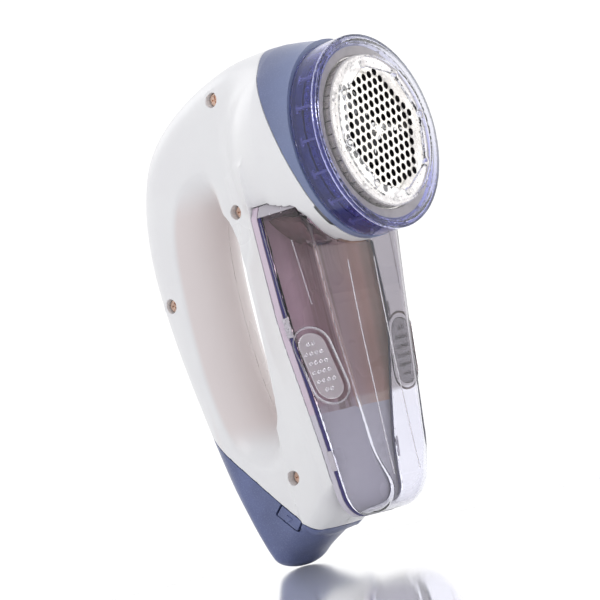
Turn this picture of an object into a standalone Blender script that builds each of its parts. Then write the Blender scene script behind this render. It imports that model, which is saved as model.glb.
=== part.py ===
"""Hand-held battery fabric shaver with a finger-loop handle.

Metres, +Z up, front of the head towards -Y.  The origin is at the middle of
the foot: X and Y are centred on the whole object and Z = 0 is the lowest
point.  Each named object in the collection is one physical piece.
"""
from math import cos, pi, radians, sin

import bmesh
import bpy
from mathutils import Matrix, Vector

# ---------------------------------------------------------------- head
AXIS_Z = 0.1325           # height of the head's axis, which runs along Y
FACE_Y = -0.0480          # outer face of the foil
GAP = 0.0003              # clearance between neighbouring pieces
GUARD_R = 0.0331          # outer radius of the clear height guard
GUARD_BORE_R = 0.0299
GUARD_BACK_Y = FACE_Y + 0.0108
GUARD_CROWN_Y = FACE_Y - 0.0030
CROWN_R = 0.0221          # radius of the eight bumps on the guard's inner edge
CROWN_SIDES = 8
CROWN_TURN = radians(9.6)
BUMP_R = 0.0013
FOIL_R = 0.0256
FOIL_DEPTH = 0.0035
FOIL_LIP_R = 0.0276
COLLAR_TILT = radians(8.0)    # the collar's joint with the housing leans back
COLLAR_Y = FACE_Y + 0.0215    # that joint's place on the head axis
CHAMBER_R = 0.0272
CHAMBER_FLOOR_Y = FACE_Y + 0.0170
CHUTE_HALF_W = 0.0110         # the duct that drops lint into the box
CHUTE_FRONT_Y = CHAMBER_FLOOR_Y + 0.0015 + GAP
CHUTE_REAR_Y = -0.0150
CHUTE_LOW_Z = 0.0975
CHUTE_TOP_Z = 0.1185
CHUTE_MOUTH_Z = 0.1088        # lower edge of its inlet from the chamber
BLADE_COUNT = 3
VANE_COUNT = 8

# ---------------------------------------------------------------- housing
HALF_WIDTH = 0.0170       # half the width of the loop handle
EDGE_R = 0.0045           # rounding of the loop's edges
WALL = 0.0020
REAR_Y = 0.0518           # rearmost point of the grip
TOP_Z = 0.1702
SEAM_REAR = (0.0436, 0.0485)      # the battery cover's seam, as (y, z)
SEAM_FRONT = (0.0070, 0.0100)
HOLE_EDGE_Y = 0.0058              # the finger hole's front edge
CREASE_Y = 0.0005                 # where the head's flare leaves the loop's side
CREASE_Z = 0.1000                 # and the height it starts at
SCREW_SEATS = ((0.0035, 0.1580), (0.0045, 0.1195), (0.0415, 0.0960), (0.0085, 0.0290))
SCREW_SEAT_R = 0.0025
SCREW_SEAT_DEPTH = 0.0045
SCREW_SHANK_R = 0.0011
BOSS_R = 0.0036

# ---------------------------------------------------------------- lint box
BOX_WALL = 0.0016
BOX_BACK_THICK = 0.0020
# z, front y, rear y, front half width, rear half width
BOX_SECTIONS = (
    (0.1160, -0.0298, -0.0106, 0.0276, 0.0304),
    (0.0760, -0.0266, -0.0104, 0.0233, 0.0302),
    (0.0500, -0.0256, -0.0080, 0.0199, 0.0226),
    (0.0280, -0.0247, -0.0062, 0.0168, 0.0172),
)
BOX_FOOT_Z = 0.0115
BOX_FOOT_R = 0.0120
BOX_FOOT_STEPS = 4
BOX_CORNER_R = 0.0030
GRIP_Z = 0.0630
GRIP_Y = -0.0190
GRIP_LENGTH = 0.0250
GRIP_WIDTH = 0.0140
GRIP_PROUD = 0.0016
GRIP_STEPS = 8

# ---------------------------------------------------------------- power
CELL_R = 0.00715
CELL_LENGTH = 0.0480
CELL_NIB_LENGTH = 0.0015
CELL_X = 0.0075
CELL_FOOT = (0.0272, 0.0262)      # centre of the cells' lower ends, as (y, z)
CELL_TILT = radians(12.5)
MOTOR_R = 0.0120
MOTOR_FRONT_Y = -0.0285
MOTOR_LENGTH = 0.0270
SHAFT_R = 0.0010
SWITCH_AT = (0.0245, 0.1602)      # centre of the slide switch, as (y, z)
SWITCH_LEAN = radians(-28.0)
SWITCH_TRAVEL = 0.0030

DIAL = (pi / 2, 0.0, 0.0)         # turns local +Z to the front, world -Y
SIDE = (pi / 2, 0.0, pi / 2)      # turns local X, Y to world Y, Z
PARTS = "fabric_shaver"
CUTTERS = "cutters"

FINISHES = {
    "white_shell": ((0.90, 0.89, 0.90), 0.30, 0.0, 1.0),
    "blue_trim": ((0.155, 0.205, 0.405), 0.38, 0.0, 1.0),
    "clear_guard": ((0.72, 0.76, 0.92), 0.08, 0.0, 0.35),
    "clear_box": ((0.52, 0.44, 0.50), 0.08, 0.0, 0.40),
    "foil_steel": ((0.80, 0.78, 0.74), 0.22, 1.0, 1.0),
    "ring_grey": ((0.52, 0.48, 0.46), 0.35, 0.0, 1.0),
    "blade_steel": ((0.60, 0.60, 0.61), 0.20, 1.0, 1.0),
    "spring_steel": ((0.66, 0.65, 0.63), 0.25, 1.0, 1.0),
    "inner_white": ((0.82, 0.82, 0.82), 0.50, 0.0, 1.0),
    "motor_steel": ((0.55, 0.56, 0.58), 0.32, 1.0, 1.0),
    "black_plastic": ((0.03, 0.03, 0.035), 0.45, 0.0, 1.0),
    "brass": ((0.70, 0.55, 0.25), 0.30, 1.0, 1.0),
    "cell_wrap": ((0.05, 0.22, 0.14), 0.35, 0.0, 1.0),
    "wire_red": ((0.55, 0.03, 0.03), 0.50, 0.0, 1.0),
    "wire_black": ((0.02, 0.02, 0.02), 0.50, 0.0, 1.0),
}


# ================================================================ helpers
def clear_scene():
    for obj in list(bpy.data.objects):
        bpy.data.objects.remove(obj, do_unlink=True)


def collection(name):
    made = bpy.data.collections.new(name)
    bpy.context.scene.collection.children.link(made)
    return made


def make_finish(name):
    colour, roughness, metallic, alpha = FINISHES[name]
    mat = bpy.data.materials.new(name)
    mat.use_nodes = True
    shader = mat.node_tree.nodes["Principled BSDF"]
    shader.inputs["Base Color"].default_value = (*colour, 1.0)
    shader.inputs["Roughness"].default_value = roughness
    shader.inputs["Metallic"].default_value = metallic
    shader.inputs["Alpha"].default_value = alpha
    mat.diffuse_color = (*colour, alpha)
    return mat


def put(obj, where):
    """Move an object into one of the two collections."""
    for home in list(obj.users_collection):
        home.objects.unlink(obj)
    bpy.data.collections[where].objects.link(obj)
    return obj


def finish_part(obj, name, finish):
    """Name a piece, give it its own material and file it with the parts."""
    obj.name = name
    obj.data.name = name
    mat = make_finish(finish)
    mat.name = name + "_" + finish
    obj.data.materials.clear()
    obj.data.materials.append(mat)
    if obj.type == "MESH":
        obj.data.shade_smooth()
        obj.data.set_sharp_from_angle(angle=radians(35))
    return put(obj, PARTS)


def settle(obj):
    """Swap an object for the plain mesh of its curve and modifiers."""
    graph = bpy.context.evaluated_depsgraph_get()
    graph.update()
    mesh = bpy.data.meshes.new_from_object(obj.evaluated_get(graph))
    bm = bmesh.new()
    bm.from_mesh(mesh)
    if obj.type == "CURVE":
        bmesh.ops.remove_doubles(bm, verts=bm.verts, dist=0.000002)
    bm.to_mesh(mesh)
    bm.free()
    made = bpy.data.objects.new(obj.name, mesh)
    bpy.context.scene.collection.objects.link(made)
    made.matrix_world = obj.matrix_world.copy()
    bpy.data.objects.remove(obj, do_unlink=True)
    return made


def boolean(obj, other, operation):
    """Add a Boolean and file its operand with the cutters."""
    other.hide_render = True
    other.display_type = "WIRE"
    put(other, CUTTERS)
    mod = obj.modifiers.new(operation.lower(), "BOOLEAN")
    mod.operation = operation
    mod.solver = "EXACT"
    mod.object = other
    return mod


def cut(obj, cutter):
    boolean(obj, cutter, "DIFFERENCE")
    return obj


def join(obj, other):
    boolean(obj, other, "UNION")
    return obj


def keep_inside(obj, other):
    boolean(obj, other, "INTERSECT")
    return obj


def bake(obj):
    """Apply an object's Booleans and drop their operands."""
    operands = [mod.object for mod in obj.modifiers if mod.type == "BOOLEAN"]
    name = obj.name
    made = settle(obj)
    made.name = name
    for operand in operands:
        if operand.name in bpy.data.objects:
            bpy.data.objects.remove(operand, do_unlink=True)
    return made


def block(low, high, name="block"):
    """A box between two corners."""
    bpy.ops.mesh.primitive_cube_add(size=1)
    obj = bpy.context.active_object
    obj.name = name
    size = Vector(high) - Vector(low)
    middle = (Vector(high) + Vector(low)) / 2
    obj.data.transform(Matrix.Translation(middle) @ Matrix.Diagonal((*size, 1.0)))
    return obj


def centred_block(size, name="block"):
    half = Vector(size) / 2
    return block(-half, half, name)


def rod(radius, start, end, sides=24, name="rod"):
    """A round bar between two points."""
    start, end = Vector(start), Vector(end)
    bpy.ops.mesh.primitive_cylinder_add(vertices=sides, radius=radius, depth=(end - start).length)
    obj = bpy.context.active_object
    obj.name = name
    turn = (end - start).to_track_quat("Z", "Y").to_matrix().to_4x4()
    obj.data.transform(Matrix.Translation((start + end) / 2) @ turn)
    return obj


def turned(profile, steps, name="turned"):
    """Turn a closed (radius, y) profile about the head's axis."""
    mesh = bpy.data.meshes.new(name)
    verts = [(radius, 0.0, -y) for radius, y in profile]
    edges = [(i, (i + 1) % len(verts)) for i in range(len(verts))]
    if profile[0][0] == 0.0 and profile[-1][0] == 0.0:
        edges.pop()
    mesh.from_pydata(verts, edges, [])
    obj = bpy.data.objects.new(name, mesh)
    bpy.context.scene.collection.objects.link(obj)
    obj.rotation_euler = DIAL
    obj.location = (0.0, 0.0, AXIS_Z)
    mod = obj.modifiers.new("turn", "SCREW")
    mod.steps = steps
    mod.render_steps = steps
    mod.use_merge_vertices = True
    mod.merge_threshold = 0.00001
    return obj


def wire(points, radius, name):
    """A round wire along a list of points."""
    curve = bpy.data.curves.new(name, "CURVE")
    curve.dimensions = "3D"
    spline = curve.splines.new("POLY")
    spline.points.add(len(points) - 1)
    for slot, point in zip(spline.points, points):
        slot.co = (*point, 1.0)
    curve.bevel_depth = radius
    curve.bevel_resolution = 2
    curve.use_fill_caps = True
    obj = bpy.data.objects.new(name, curve)
    bpy.context.scene.collection.objects.link(obj)
    return obj


def round_line(points, count):
    """Points along a smooth curve through a few hand-placed ones."""
    pts = [Vector(points[0])] + [Vector(p) for p in points] + [Vector(points[-1])]
    spans = len(points) - 1
    line = []
    for step in range(count + 1):
        place = step / count * spans
        span = min(int(place), spans - 1)
        t = place - span
        a, b, c, d = pts[span:span + 4]
        line.append(0.5 * ((2 * b) + (c - a) * t + (2 * a - 5 * b + 4 * c - d) * t * t
                           + (3 * b - a - 3 * c + d) * t ** 3))
    return line


def coil(centre, radius, height, turns, name, wire_radius, axis=(0.0, 0.0, 1.0)):
    """A compression spring standing on a point along an axis."""
    per_turn = 8
    points = []
    total = turns * per_turn
    for i in range(total + 1):
        angle = 2 * pi * i / per_turn
        rise = height * i / total
        points.append((radius * cos(angle), radius * sin(angle), rise))
    obj = wire(points, wire_radius, name)
    obj.rotation_euler = Vector(axis).to_track_quat("Z", "Y").to_euler()
    obj.location = centre
    return obj


# ================================================================ outlines
def loop_outline():
    """The housing's side outline as (y, z, corner), battery cover included."""
    return (
        (0.0218, 0.0, True),
        (0.0285, 0.0, True),
        (0.0334, 0.0115, False),
        (0.0367, 0.0220, False),
        (0.0412, 0.0350, False),
        (0.0440, 0.0485, False),
        (0.0480, 0.0675, False),
        (0.0505, 0.0850, False),
        (REAR_Y, 0.1065, False),
        (0.0505, 0.1240, False),
        (0.0468, 0.1375, False),
        (0.0390, 0.1505, False),
        (0.0270, 0.1604, False),
        (0.0120, 0.1668, False),
        (-0.0030, 0.1696, False),
        (-0.0160, TOP_Z, False),
        (-0.0370, 0.1675, True),
        (-0.0370, 0.1080, True),
        (-0.0080, 0.1060, True),
        (-0.0070, 0.0600, False),
        (-0.0052, 0.0290, False),
        (-0.0044, 0.0205, False),
        (-0.0008, 0.0140, False),
        (0.0070, 0.0103, False),
        (0.0160, 0.0055, False),
    )


def finger_hole_outline():
    """The finger hole at the middle plane, as (y, z, corner)."""
    return (
        (0.0200, 0.0470, False),
        (0.0125, 0.0480, False),
        (0.0075, 0.0560, False),
        (0.0062, 0.0800, False),
        (0.0062, 0.1030, False),
        (0.0085, 0.1160, False),
        (0.0150, 0.1245, False),
        (0.0215, 0.1215, False),
        (0.0245, 0.1050, False),
        (0.0250, 0.0850, False),
        (0.0235, 0.0640, False),
    )


def add_spline(curve, outline):
    spline = curve.splines.new("BEZIER")
    spline.bezier_points.add(len(outline) - 1)
    spline.use_cyclic_u = True
    for knot, (y, z, corner) in zip(spline.bezier_points, outline):
        knot.co = (y, z, 0.0)
        kind = "VECTOR" if corner else "AUTO"
        knot.handle_left_type = kind
        knot.handle_right_type = kind


def loop_solid(inset):
    """The handle as a rounded slab with its finger hole, shrunk by inset."""
    curve = bpy.data.curves.new("loop", "CURVE")
    curve.dimensions = "2D"
    curve.fill_mode = "BOTH"
    curve.resolution_u = 3
    add_spline(curve, loop_outline())
    add_spline(curve, finger_hole_outline())
    curve.offset = -EDGE_R
    curve.extrude = HALF_WIDTH - EDGE_R
    curve.bevel_depth = EDGE_R - inset
    curve.bevel_resolution = 1
    obj = bpy.data.objects.new("loop", curve)
    bpy.context.scene.collection.objects.link(obj)
    obj.rotation_euler = SIDE
    return settle(obj)


def dome_profile(inset):
    """The head end of the housing, from its front edge back to its tail."""
    rear = (
        (0.0352, -0.0380),
        (0.0356, -0.0300),
        (0.0366, -0.0210),
        (0.0350, -0.0150),
        (0.0305, -0.0085),
        (0.0240, -0.0020),
        (0.0165, 0.0030),
        (0.0080, 0.0060),
    )
    shrunk = [(radius - inset, y - inset * (radius < 0.035)) for radius, y in rear]
    return [(0.0, rear[0][1])] + shrunk + [(0.0, rear[-1][1] - inset)]


def loft(rings, name):
    """Join level outlines, each (z, points), that have equal point counts."""
    bm = bmesh.new()
    rows = [[bm.verts.new((x, y, z)) for x, y in points] for z, points in rings]
    count = len(rows[0])
    for lower, upper in zip(rows, rows[1:]):
        for i in range(count):
            k = (i + 1) % count
            bm.faces.new((lower[i], lower[k], upper[k], upper[i]))
    bm.faces.new(rows[0][::-1])
    bm.faces.new(rows[-1])
    bmesh.ops.recalc_face_normals(bm, faces=bm.faces)
    mesh = bpy.data.meshes.new(name)
    bm.to_mesh(mesh)
    bm.free()
    obj = bpy.data.objects.new(name, mesh)
    bpy.context.scene.collection.objects.link(obj)
    return obj


def trapezium(front, rear, front_w, rear_w, corner_r=0.0):
    """A level four-sided outline, its two front corners rounded on request."""
    rim = []
    for side in (-1, 1):
        corner = Vector((side * front_w, front))
        back = Vector((side * rear_w, rear))
        start = corner + (back - corner).normalized() * corner_r
        end = corner - Vector((side * corner_r, 0.0))
        shares = (0.0, 0.35, 0.65, 1.0) if corner_r else (0.0,)
        arc = [start * (1 - t) ** 2 + corner * 2 * t * (1 - t) + end * t * t for t in shares]
        run = [back] + arc
        rim += run if side < 0 else run[::-1]
    return rim


def shoulder_solid(inset):
    """The spade-shaped stem that carries the lint box, shrunk by inset."""
    stem_w = HALF_WIDTH - 0.0002 - inset
    rings = []
    for z, _, rear, _, rear_w in reversed(BOX_SECTIONS):
        edge = CREASE_Y if z > CREASE_Z else HOLE_EDGE_Y
        rings.append((z, trapezium(rear + GAP + inset, edge - inset, rear_w - inset, stem_w)))
    low_rear = BOX_SECTIONS[-1][2]
    foot = trapezium(low_rear + GAP + inset + 0.001, HOLE_EDGE_Y - inset, 0.0135 - inset, 0.0150 - inset)
    rings.insert(0, (BOX_FOOT_Z + 0.0045 + inset, foot))
    rings.append((AXIS_Z, rings[-1][1]))
    return loft(rings, "shoulder")


def body_solid(inset):
    """Everything the two housing halves and the battery cover fill."""
    solid = loop_solid(inset)
    solid.name = "body"
    join(solid, turned(dome_profile(inset), 40, "dome"))
    join(solid, shoulder_solid(inset))
    return bake(solid)


def seam_block(side):
    """A block above (+1) or below (-1) the battery cover's seam."""
    rear, front = Vector(SEAM_REAR), Vector(SEAM_FRONT)
    along = (rear - front).normalized()
    depth = 0.2
    size = (0.1, 0.3, depth)
    obj = centred_block(size, "seam")
    angle = Vector((1, 0)).angle_signed(along) * -1
    obj.rotation_euler = (angle, 0.0, 0.0)
    normal = Vector((0.0, -along.y, along.x))
    middle = (rear + front) / 2
    obj.location = Vector((0.0, middle.x, middle.y)) + normal * side * (depth / 2 + GAP / 2)
    return obj


def collar_block(side):
    """A block in front of (-1) or behind (+1) the leaning collar joint."""
    depth = 0.1
    obj = centred_block((0.1, depth, 0.4), "collar_plane")
    obj.rotation_euler = (-COLLAR_TILT, 0.0, 0.0)
    back = Vector((0.0, cos(COLLAR_TILT), -sin(COLLAR_TILT)))
    obj.location = Vector((0.0, COLLAR_Y, AXIS_Z)) + back * side * (depth / 2 + GAP / 2)
    return obj


# ================================================================ housing
def build_housing():
    """The two half shells, split on the middle plane, and the battery cover."""
    whole = cut(body_solid(0.0), body_solid(WALL))
    whole = bake(whole)
    cover = whole.copy()
    cover.data = whole.data.copy()
    bpy.context.scene.collection.objects.link(cover)
    keep_inside(cover, seam_block(-1))
    cover = bake(cover)
    add_cover_details(cover)

    keep_inside(whole, seam_block(1))
    keep_inside(whole, collar_block(1))
    cut(whole, head_clearance())
    cut(whole, chute_block(GAP))
    whole = bake(whole)
    for side, name in ((-1, "housing_left"), (1, "housing_right")):
        half = whole.copy()
        half.data = whole.data.copy()
        bpy.context.scene.collection.objects.link(half)
        low = (min(side * 0.1, side * GAP / 2), -0.1, -0.01)
        high = (max(side * 0.1, side * GAP / 2), 0.1, 0.2)
        keep_inside(half, block(low, high, "half"))
        half = bake(half)
        for y, z in SCREW_SEATS:
            start = (side * (HALF_WIDTH - WALL / 2), y, z)
            join(half, rod(BOSS_R, start, (side * GAP / 2, y, z), 16, "boss"))
        half = bake(half)
        for y, z in SCREW_SEATS:
            if side < 0:
                seat = (side * (HALF_WIDTH - SCREW_SEAT_DEPTH), y, z)
                cut(half, rod(SCREW_SEAT_R, (side * 0.05, y, z), seat, 16, "seat"))
                cut(half, rod(SCREW_SHANK_R + GAP, (side * 0.05, y, z), (0.01, y, z), 12, "shank"))
            else:
                cut(half, rod(SCREW_SHANK_R + GAP, (-0.01, y, z), (0.0090, y, z), 12, "shank"))
        cut(half, switch_slot())
        half = bake(half)
        finish_part(half, name, "white_shell")
    bpy.data.objects.remove(whole, do_unlink=True)


def head_clearance():
    """The room the collar, chamber and motor need in the housing's front."""
    profile = ((0.0, -0.060), (0.0318, -0.060), (0.0318, -0.0285), (0.0240, -0.0240), (0.0, -0.0240))
    return turned(profile, 40, "head_room")


def chute_block(gap):
    low = (-CHUTE_HALF_W - gap, CHUTE_FRONT_Y - gap, CHUTE_LOW_Z - 0.0100)
    high = (CHUTE_HALF_W + gap, CHUTE_REAR_Y + gap, CHUTE_TOP_Z + gap)
    return block(low, high, "chute_room")


def switch_frame():
    """The switch's own axes: X across, Y along its travel, Z outwards."""
    y, z = SWITCH_AT
    return Matrix.Translation((0.0, y, z)) @ Matrix.Rotation(SWITCH_LEAN, 4, "X")


def switch_slot():
    obj = centred_block((0.0062, 0.0130, 0.0120), "switch_slot")
    obj.matrix_world = switch_frame()
    return obj


def build_switch():
    knob = centred_block((0.0055, 0.0085, 0.0036), "knob")
    knob.data.transform(Matrix.Translation((0.0, -SWITCH_TRAVEL / 2, 0.0002)))
    knob.matrix_world = switch_frame()
    for i in range(4):
        groove = centred_block((0.0080, 0.0007, 0.0012), "groove")
        groove.matrix_world = switch_frame() @ Matrix.Translation((0.0, -0.0042 + 0.0018 * i, 0.0022))
        cut(knob, groove)
    knob = bake(knob)
    stem = centred_block((0.0020, 0.0024, 0.0022), "stem")
    stem.data.transform(Matrix.Translation((0.0, -SWITCH_TRAVEL / 2, -0.0026)))
    stem.matrix_world = switch_frame()
    join(knob, stem)
    finish_part(bake(knob), "switch_knob", "blue_trim")

    case = centred_block((0.0070, 0.0150, 0.0055), "case")
    case.matrix_world = switch_frame() @ Matrix.Translation((0.0, 0.0, -0.0070))
    slot = centred_block((0.0028, 0.0070, 0.0030), "stem_slot")
    slot.matrix_world = switch_frame() @ Matrix.Translation((0.0, 0.0, -0.0042))
    cut(case, slot)
    finish_part(bake(case), "switch_body", "black_plastic")


# ================================================================ head
def build_collar():
    """The blue collar behind the guard, closed by the leaning joint."""
    front = GUARD_BACK_Y + 0.0004
    neck = front - 0.0030
    profile = (
        (0.0295, neck), (0.0295, front), (0.0338, front), (0.0341, front + 0.001), (0.0368, -0.0180),
        (0.0330, -0.0180), (0.0305, front + 0.0025), (0.0285, front + 0.001), (0.0285, neck),
    )
    collar = turned(profile[::-1], 48, "collar")
    collar = bake(collar)
    keep_inside(collar, collar_block(-1))
    finish_part(bake(collar), "head_collar", "blue_trim")


def build_guard():
    """The clear ring that sets the height, with its eight-sided crown."""
    lip = FACE_Y - GAP
    profile = (
        (GUARD_R, GUARD_BACK_Y), (GUARD_R, lip + 0.0012), (GUARD_R - 0.0009, lip),
        (0.0245, GUARD_CROWN_Y), (0.0190, GUARD_CROWN_Y), (0.0190, GUARD_CROWN_Y + 0.0010),
        (0.0243, GUARD_CROWN_Y + 0.0010), (GUARD_BORE_R, lip + 0.0014), (GUARD_BORE_R, GUARD_BACK_Y),
    )
    guard = bake(turned(profile[::-1], 48, "guard"))
    reach = CROWN_R - 0.0003
    octagon = ((0.0, FACE_Y - 0.02), (reach, FACE_Y - 0.02), (reach, FACE_Y + 0.004), (0.0, FACE_Y + 0.004))
    opening = turned(octagon, CROWN_SIDES, "opening")
    opening.data.transform(Matrix.Rotation(CROWN_TURN, 4, "Z"))
    cut(guard, opening)
    guard = bake(guard)
    for i in range(CROWN_SIDES):
        angle = CROWN_TURN + 2 * pi * i / CROWN_SIDES
        bpy.ops.mesh.primitive_uv_sphere_add(segments=8, ring_count=6, radius=BUMP_R)
        bump = bpy.context.active_object
        bump.location = (CROWN_R * cos(angle), GUARD_CROWN_Y + 0.0005, AXIS_Z + CROWN_R * sin(angle))
        join(guard, bump)
    finish_part(bake(guard), "height_guard", "clear_guard")


def build_foil():
    """The cup-shaped foil and the grey ring that holds it."""
    sheet = 0.0003
    back = FACE_Y + FOIL_DEPTH
    lip = back + GAP
    profile = (
        (0.0, FACE_Y), (FOIL_R - 0.0006, FACE_Y), (FOIL_R, FACE_Y + 0.0006), (FOIL_R, lip),
        (FOIL_LIP_R, lip), (FOIL_LIP_R, lip + sheet), (FOIL_R - sheet, lip + sheet),
        (FOIL_R - sheet, FACE_Y + 0.0008), (FOIL_R - 0.0008, FACE_Y + sheet), (0.0, FACE_Y + sheet),
    )
    finish_part(bake(turned(profile, 48, "foil")), "foil", "foil_steel")

    profile = (
        (0.0260, back - GAP), (0.0296, FACE_Y + 0.0022), (0.0296, FACE_Y + 0.0074), (0.0281, FACE_Y + 0.0074),
        (0.0281, back), (0.0260, back - 0.0001),
    )
    finish_part(bake(turned(profile, 40, "ring")), "foil_ring", "ring_grey")


def build_chamber():
    """The cup the blades turn in, with its outlet to the chute."""
    front = FACE_Y + FOIL_DEPTH + 3 * GAP
    floor = CHAMBER_FLOOR_Y
    outer = CHAMBER_R + 0.0006
    profile = (
        (outer, front), (outer, floor + 0.0015), (0.0, floor + 0.0015), (0.0, floor),
        (CHAMBER_R - 0.0014, floor), (CHAMBER_R - 0.0014, front),
    )
    cup = turned(profile, 40, "cup")
    cup = bake(cup)
    cut(cup, rod(0.0035, (0, floor - 0.01, AXIS_Z), (0, floor + 0.01, AXIS_Z), 24, "bush_hole"))
    cut(cup, block((-0.0100, floor - 0.01, AXIS_Z - 0.0235), (0.0100, floor + 0.01, AXIS_Z - 0.0145), "outlet"))
    finish_part(bake(cup), "cutter_chamber", "inner_white")

    profile = (
        (0.0013, floor - 0.0010), (0.0032, floor - 0.0010), (0.0032, floor + 0.0021), (0.0013, floor + 0.0021),
    )
    finish_part(bake(turned(profile, 24, "bush")), "shaft_bush", "brass")


def build_cutter():
    """Shaft, fan, spring, carrier and three blades, which turn together."""
    hub_y = FACE_Y + 0.0050
    shaft = rod(SHAFT_R, (0, FACE_Y + 0.0032, AXIS_Z), (0, MOTOR_FRONT_Y + 0.0030, AXIS_Z), 16, "shaft")
    finish_part(shaft, "motor_shaft", "blade_steel")

    bore = SHAFT_R + 0.0002
    carrier = turned(((bore, hub_y), (0.0060, hub_y), (0.0060, hub_y + 0.0030), (bore, hub_y + 0.0030)), 32, "hub")
    carrier = bake(carrier)
    for i in range(BLADE_COUNT):
        arm = block((0.0045, hub_y, -0.0022), (0.0225, hub_y + 0.0016, 0.0022), "arm")
        arm.data.transform(Matrix.Translation((0, 0, AXIS_Z)) @ Matrix.Rotation(2 * pi * i / BLADE_COUNT, 4, "Y"))
        join(carrier, arm)
    finish_part(bake(carrier), "blade_carrier", "black_plastic")

    for i in range(BLADE_COUNT):
        blade = block((0.0065, FACE_Y + 0.0009, -0.0004), (0.0235, hub_y - GAP, 0.0004), "blade")
        foot = block((0.0080, hub_y - 0.0010, -0.0001), (0.0220, hub_y - GAP, 0.0026), "foot")
        join(blade, foot)
        blade = bake(blade)
        blade.data.transform(Matrix.Translation((0, 0, AXIS_Z)) @ Matrix.Rotation(2 * pi * i / BLADE_COUNT, 4, "Y"))
        finish_part(blade, "blade_%d" % (i + 1), "blade_steel")

    fan_y = FACE_Y + 0.0118
    fan = bake(turned(((bore, fan_y), (0.0200, fan_y + 0.0012), (0.0200, fan_y + 0.0024), (bore, fan_y + 0.0030)),
                      40, "fan"))
    for i in range(VANE_COUNT):
        vane = block((0.0052, fan_y - 0.0022, -0.0004), (0.0195, fan_y + 0.0018, 0.0004), "vane")
        vane.data.transform(Matrix.Translation((0, 0, AXIS_Z)) @ Matrix.Rotation(2 * pi * i / VANE_COUNT, 4, "Y"))
        join(fan, vane)
    finish_part(bake(fan), "fan", "black_plastic")

    spring_length = fan_y - hub_y - 0.0030 - 0.0019
    spring = coil((0, fan_y - 0.0010, AXIS_Z), 0.0026, spring_length, 3, "spring", 0.0003, (0, -1, 0))
    finish_part(settle(spring), "blade_spring", "spring_steel")

    profile = ((0.0, FACE_Y + 0.0014), (0.0030, FACE_Y + 0.0014), (0.0030, FACE_Y + 0.0028), (0.0, FACE_Y + 0.0028))
    finish_part(bake(turned(profile, 24, "cap")), "blade_cap", "brass")


def build_motor():
    """Motor can, end cap, terminals and the bracket that clamps it."""
    back = MOTOR_FRONT_Y + MOTOR_LENGTH
    bore = SHAFT_R + 0.0002
    profile = (
        (bore, MOTOR_FRONT_Y), (0.0105, MOTOR_FRONT_Y), (MOTOR_R, MOTOR_FRONT_Y + 0.0015), (MOTOR_R, back),
        (MOTOR_R - 0.0010, back), (MOTOR_R - 0.0010, MOTOR_FRONT_Y + 0.0040), (bore, MOTOR_FRONT_Y + 0.0040),
    )
    finish_part(bake(turned(profile, 40, "can")), "motor_can", "motor_steel")
    cap_r = MOTOR_R - 0.0010 - GAP
    profile = ((0.0, back - 0.0030), (cap_r, back - 0.0030), (cap_r, back + 0.0015), (0.0, back + 0.0015))
    finish_part(bake(turned(profile, 32, "end")), "motor_end_cap", "black_plastic")
    for side, name in ((-1, "motor_terminal_left"), (1, "motor_terminal_right")):
        tab = block((side * 0.0060 - 0.0010, back + 0.0015 + GAP, AXIS_Z - 0.0004),
                    (side * 0.0060 + 0.0010, back + 0.0050, AXIS_Z + 0.0004), name)
        finish_part(tab, name, "brass")
    strap_y = MOTOR_FRONT_Y + 0.0120
    strap = bake(turned(((MOTOR_R + GAP, strap_y), (MOTOR_R + 0.0020, strap_y),
                         (MOTOR_R + 0.0020, strap_y + 0.0060), (MOTOR_R + GAP, strap_y + 0.0060)), 40, "strap"))
    for side in (-1, 1):
        ear = block((min(side * 0.0133, side * 0.0190), strap_y, AXIS_Z - 0.0030),
                    (max(side * 0.0133, side * 0.0190), strap_y + 0.0060, AXIS_Z + 0.0030), "ear")
        join(strap, ear)
    strap = bake(strap)
    finish_part(strap, "motor_bracket", "inner_white")


def build_chute():
    """The duct that drops the lint from the chamber into the box."""
    wall = 0.0012
    wide = CHUTE_HALF_W
    duct = block((-wide, CHUTE_FRONT_Y, CHUTE_LOW_Z), (wide, CHUTE_REAR_Y, CHUTE_TOP_Z), "duct")
    inside = (wide - wall, CHUTE_REAR_Y - wall, CHUTE_TOP_Z - wall)
    cut(duct, block((wall - wide, CHUTE_FRONT_Y + wall, CHUTE_LOW_Z - 0.01), inside, "bore"))
    mouth_low = (wall - wide, CHUTE_FRONT_Y - 0.01, CHUTE_MOUTH_Z)
    cut(duct, block(mouth_low, (inside[0], CHUTE_FRONT_Y + 2 * wall, inside[2]), "mouth"))
    finish_part(bake(duct), "lint_chute", "inner_white")


# ================================================================ lint box
def box_sections(inset, rear_inset):
    """Level sections of the lint box, rounded under at its front foot."""
    rows = []
    for z, front, rear, front_w, rear_w in BOX_SECTIONS:
        rows.append((z, front + inset, rear - rear_inset, front_w - inset, rear_w - inset))
    z_low, front, rear, front_w, rear_w = rows[-1]
    for step in range(1, BOX_FOOT_STEPS + 1):
        angle = pi / 2 * step / BOX_FOOT_STEPS
        z = z_low - (z_low - BOX_FOOT_Z - inset) * sin(angle)
        narrow = 0.0030 * (1 - cos(angle)) + 0.0012 * sin(angle)
        rows.append((z, front + BOX_FOOT_R * (1 - cos(angle)), rear, front_w - narrow, rear_w - narrow))
    return rows[::-1]


def head_cut(extra):
    """The housing's head as a cutter, larger by extra."""
    profile = [(radius + extra if radius else 0.0, y + extra) for radius, y in dome_profile(0.0)]
    profile[0] = (0.0, -0.0600)
    profile[1] = (profile[1][0], -0.0600)
    return turned(profile, 40, "head_cut")


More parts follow.
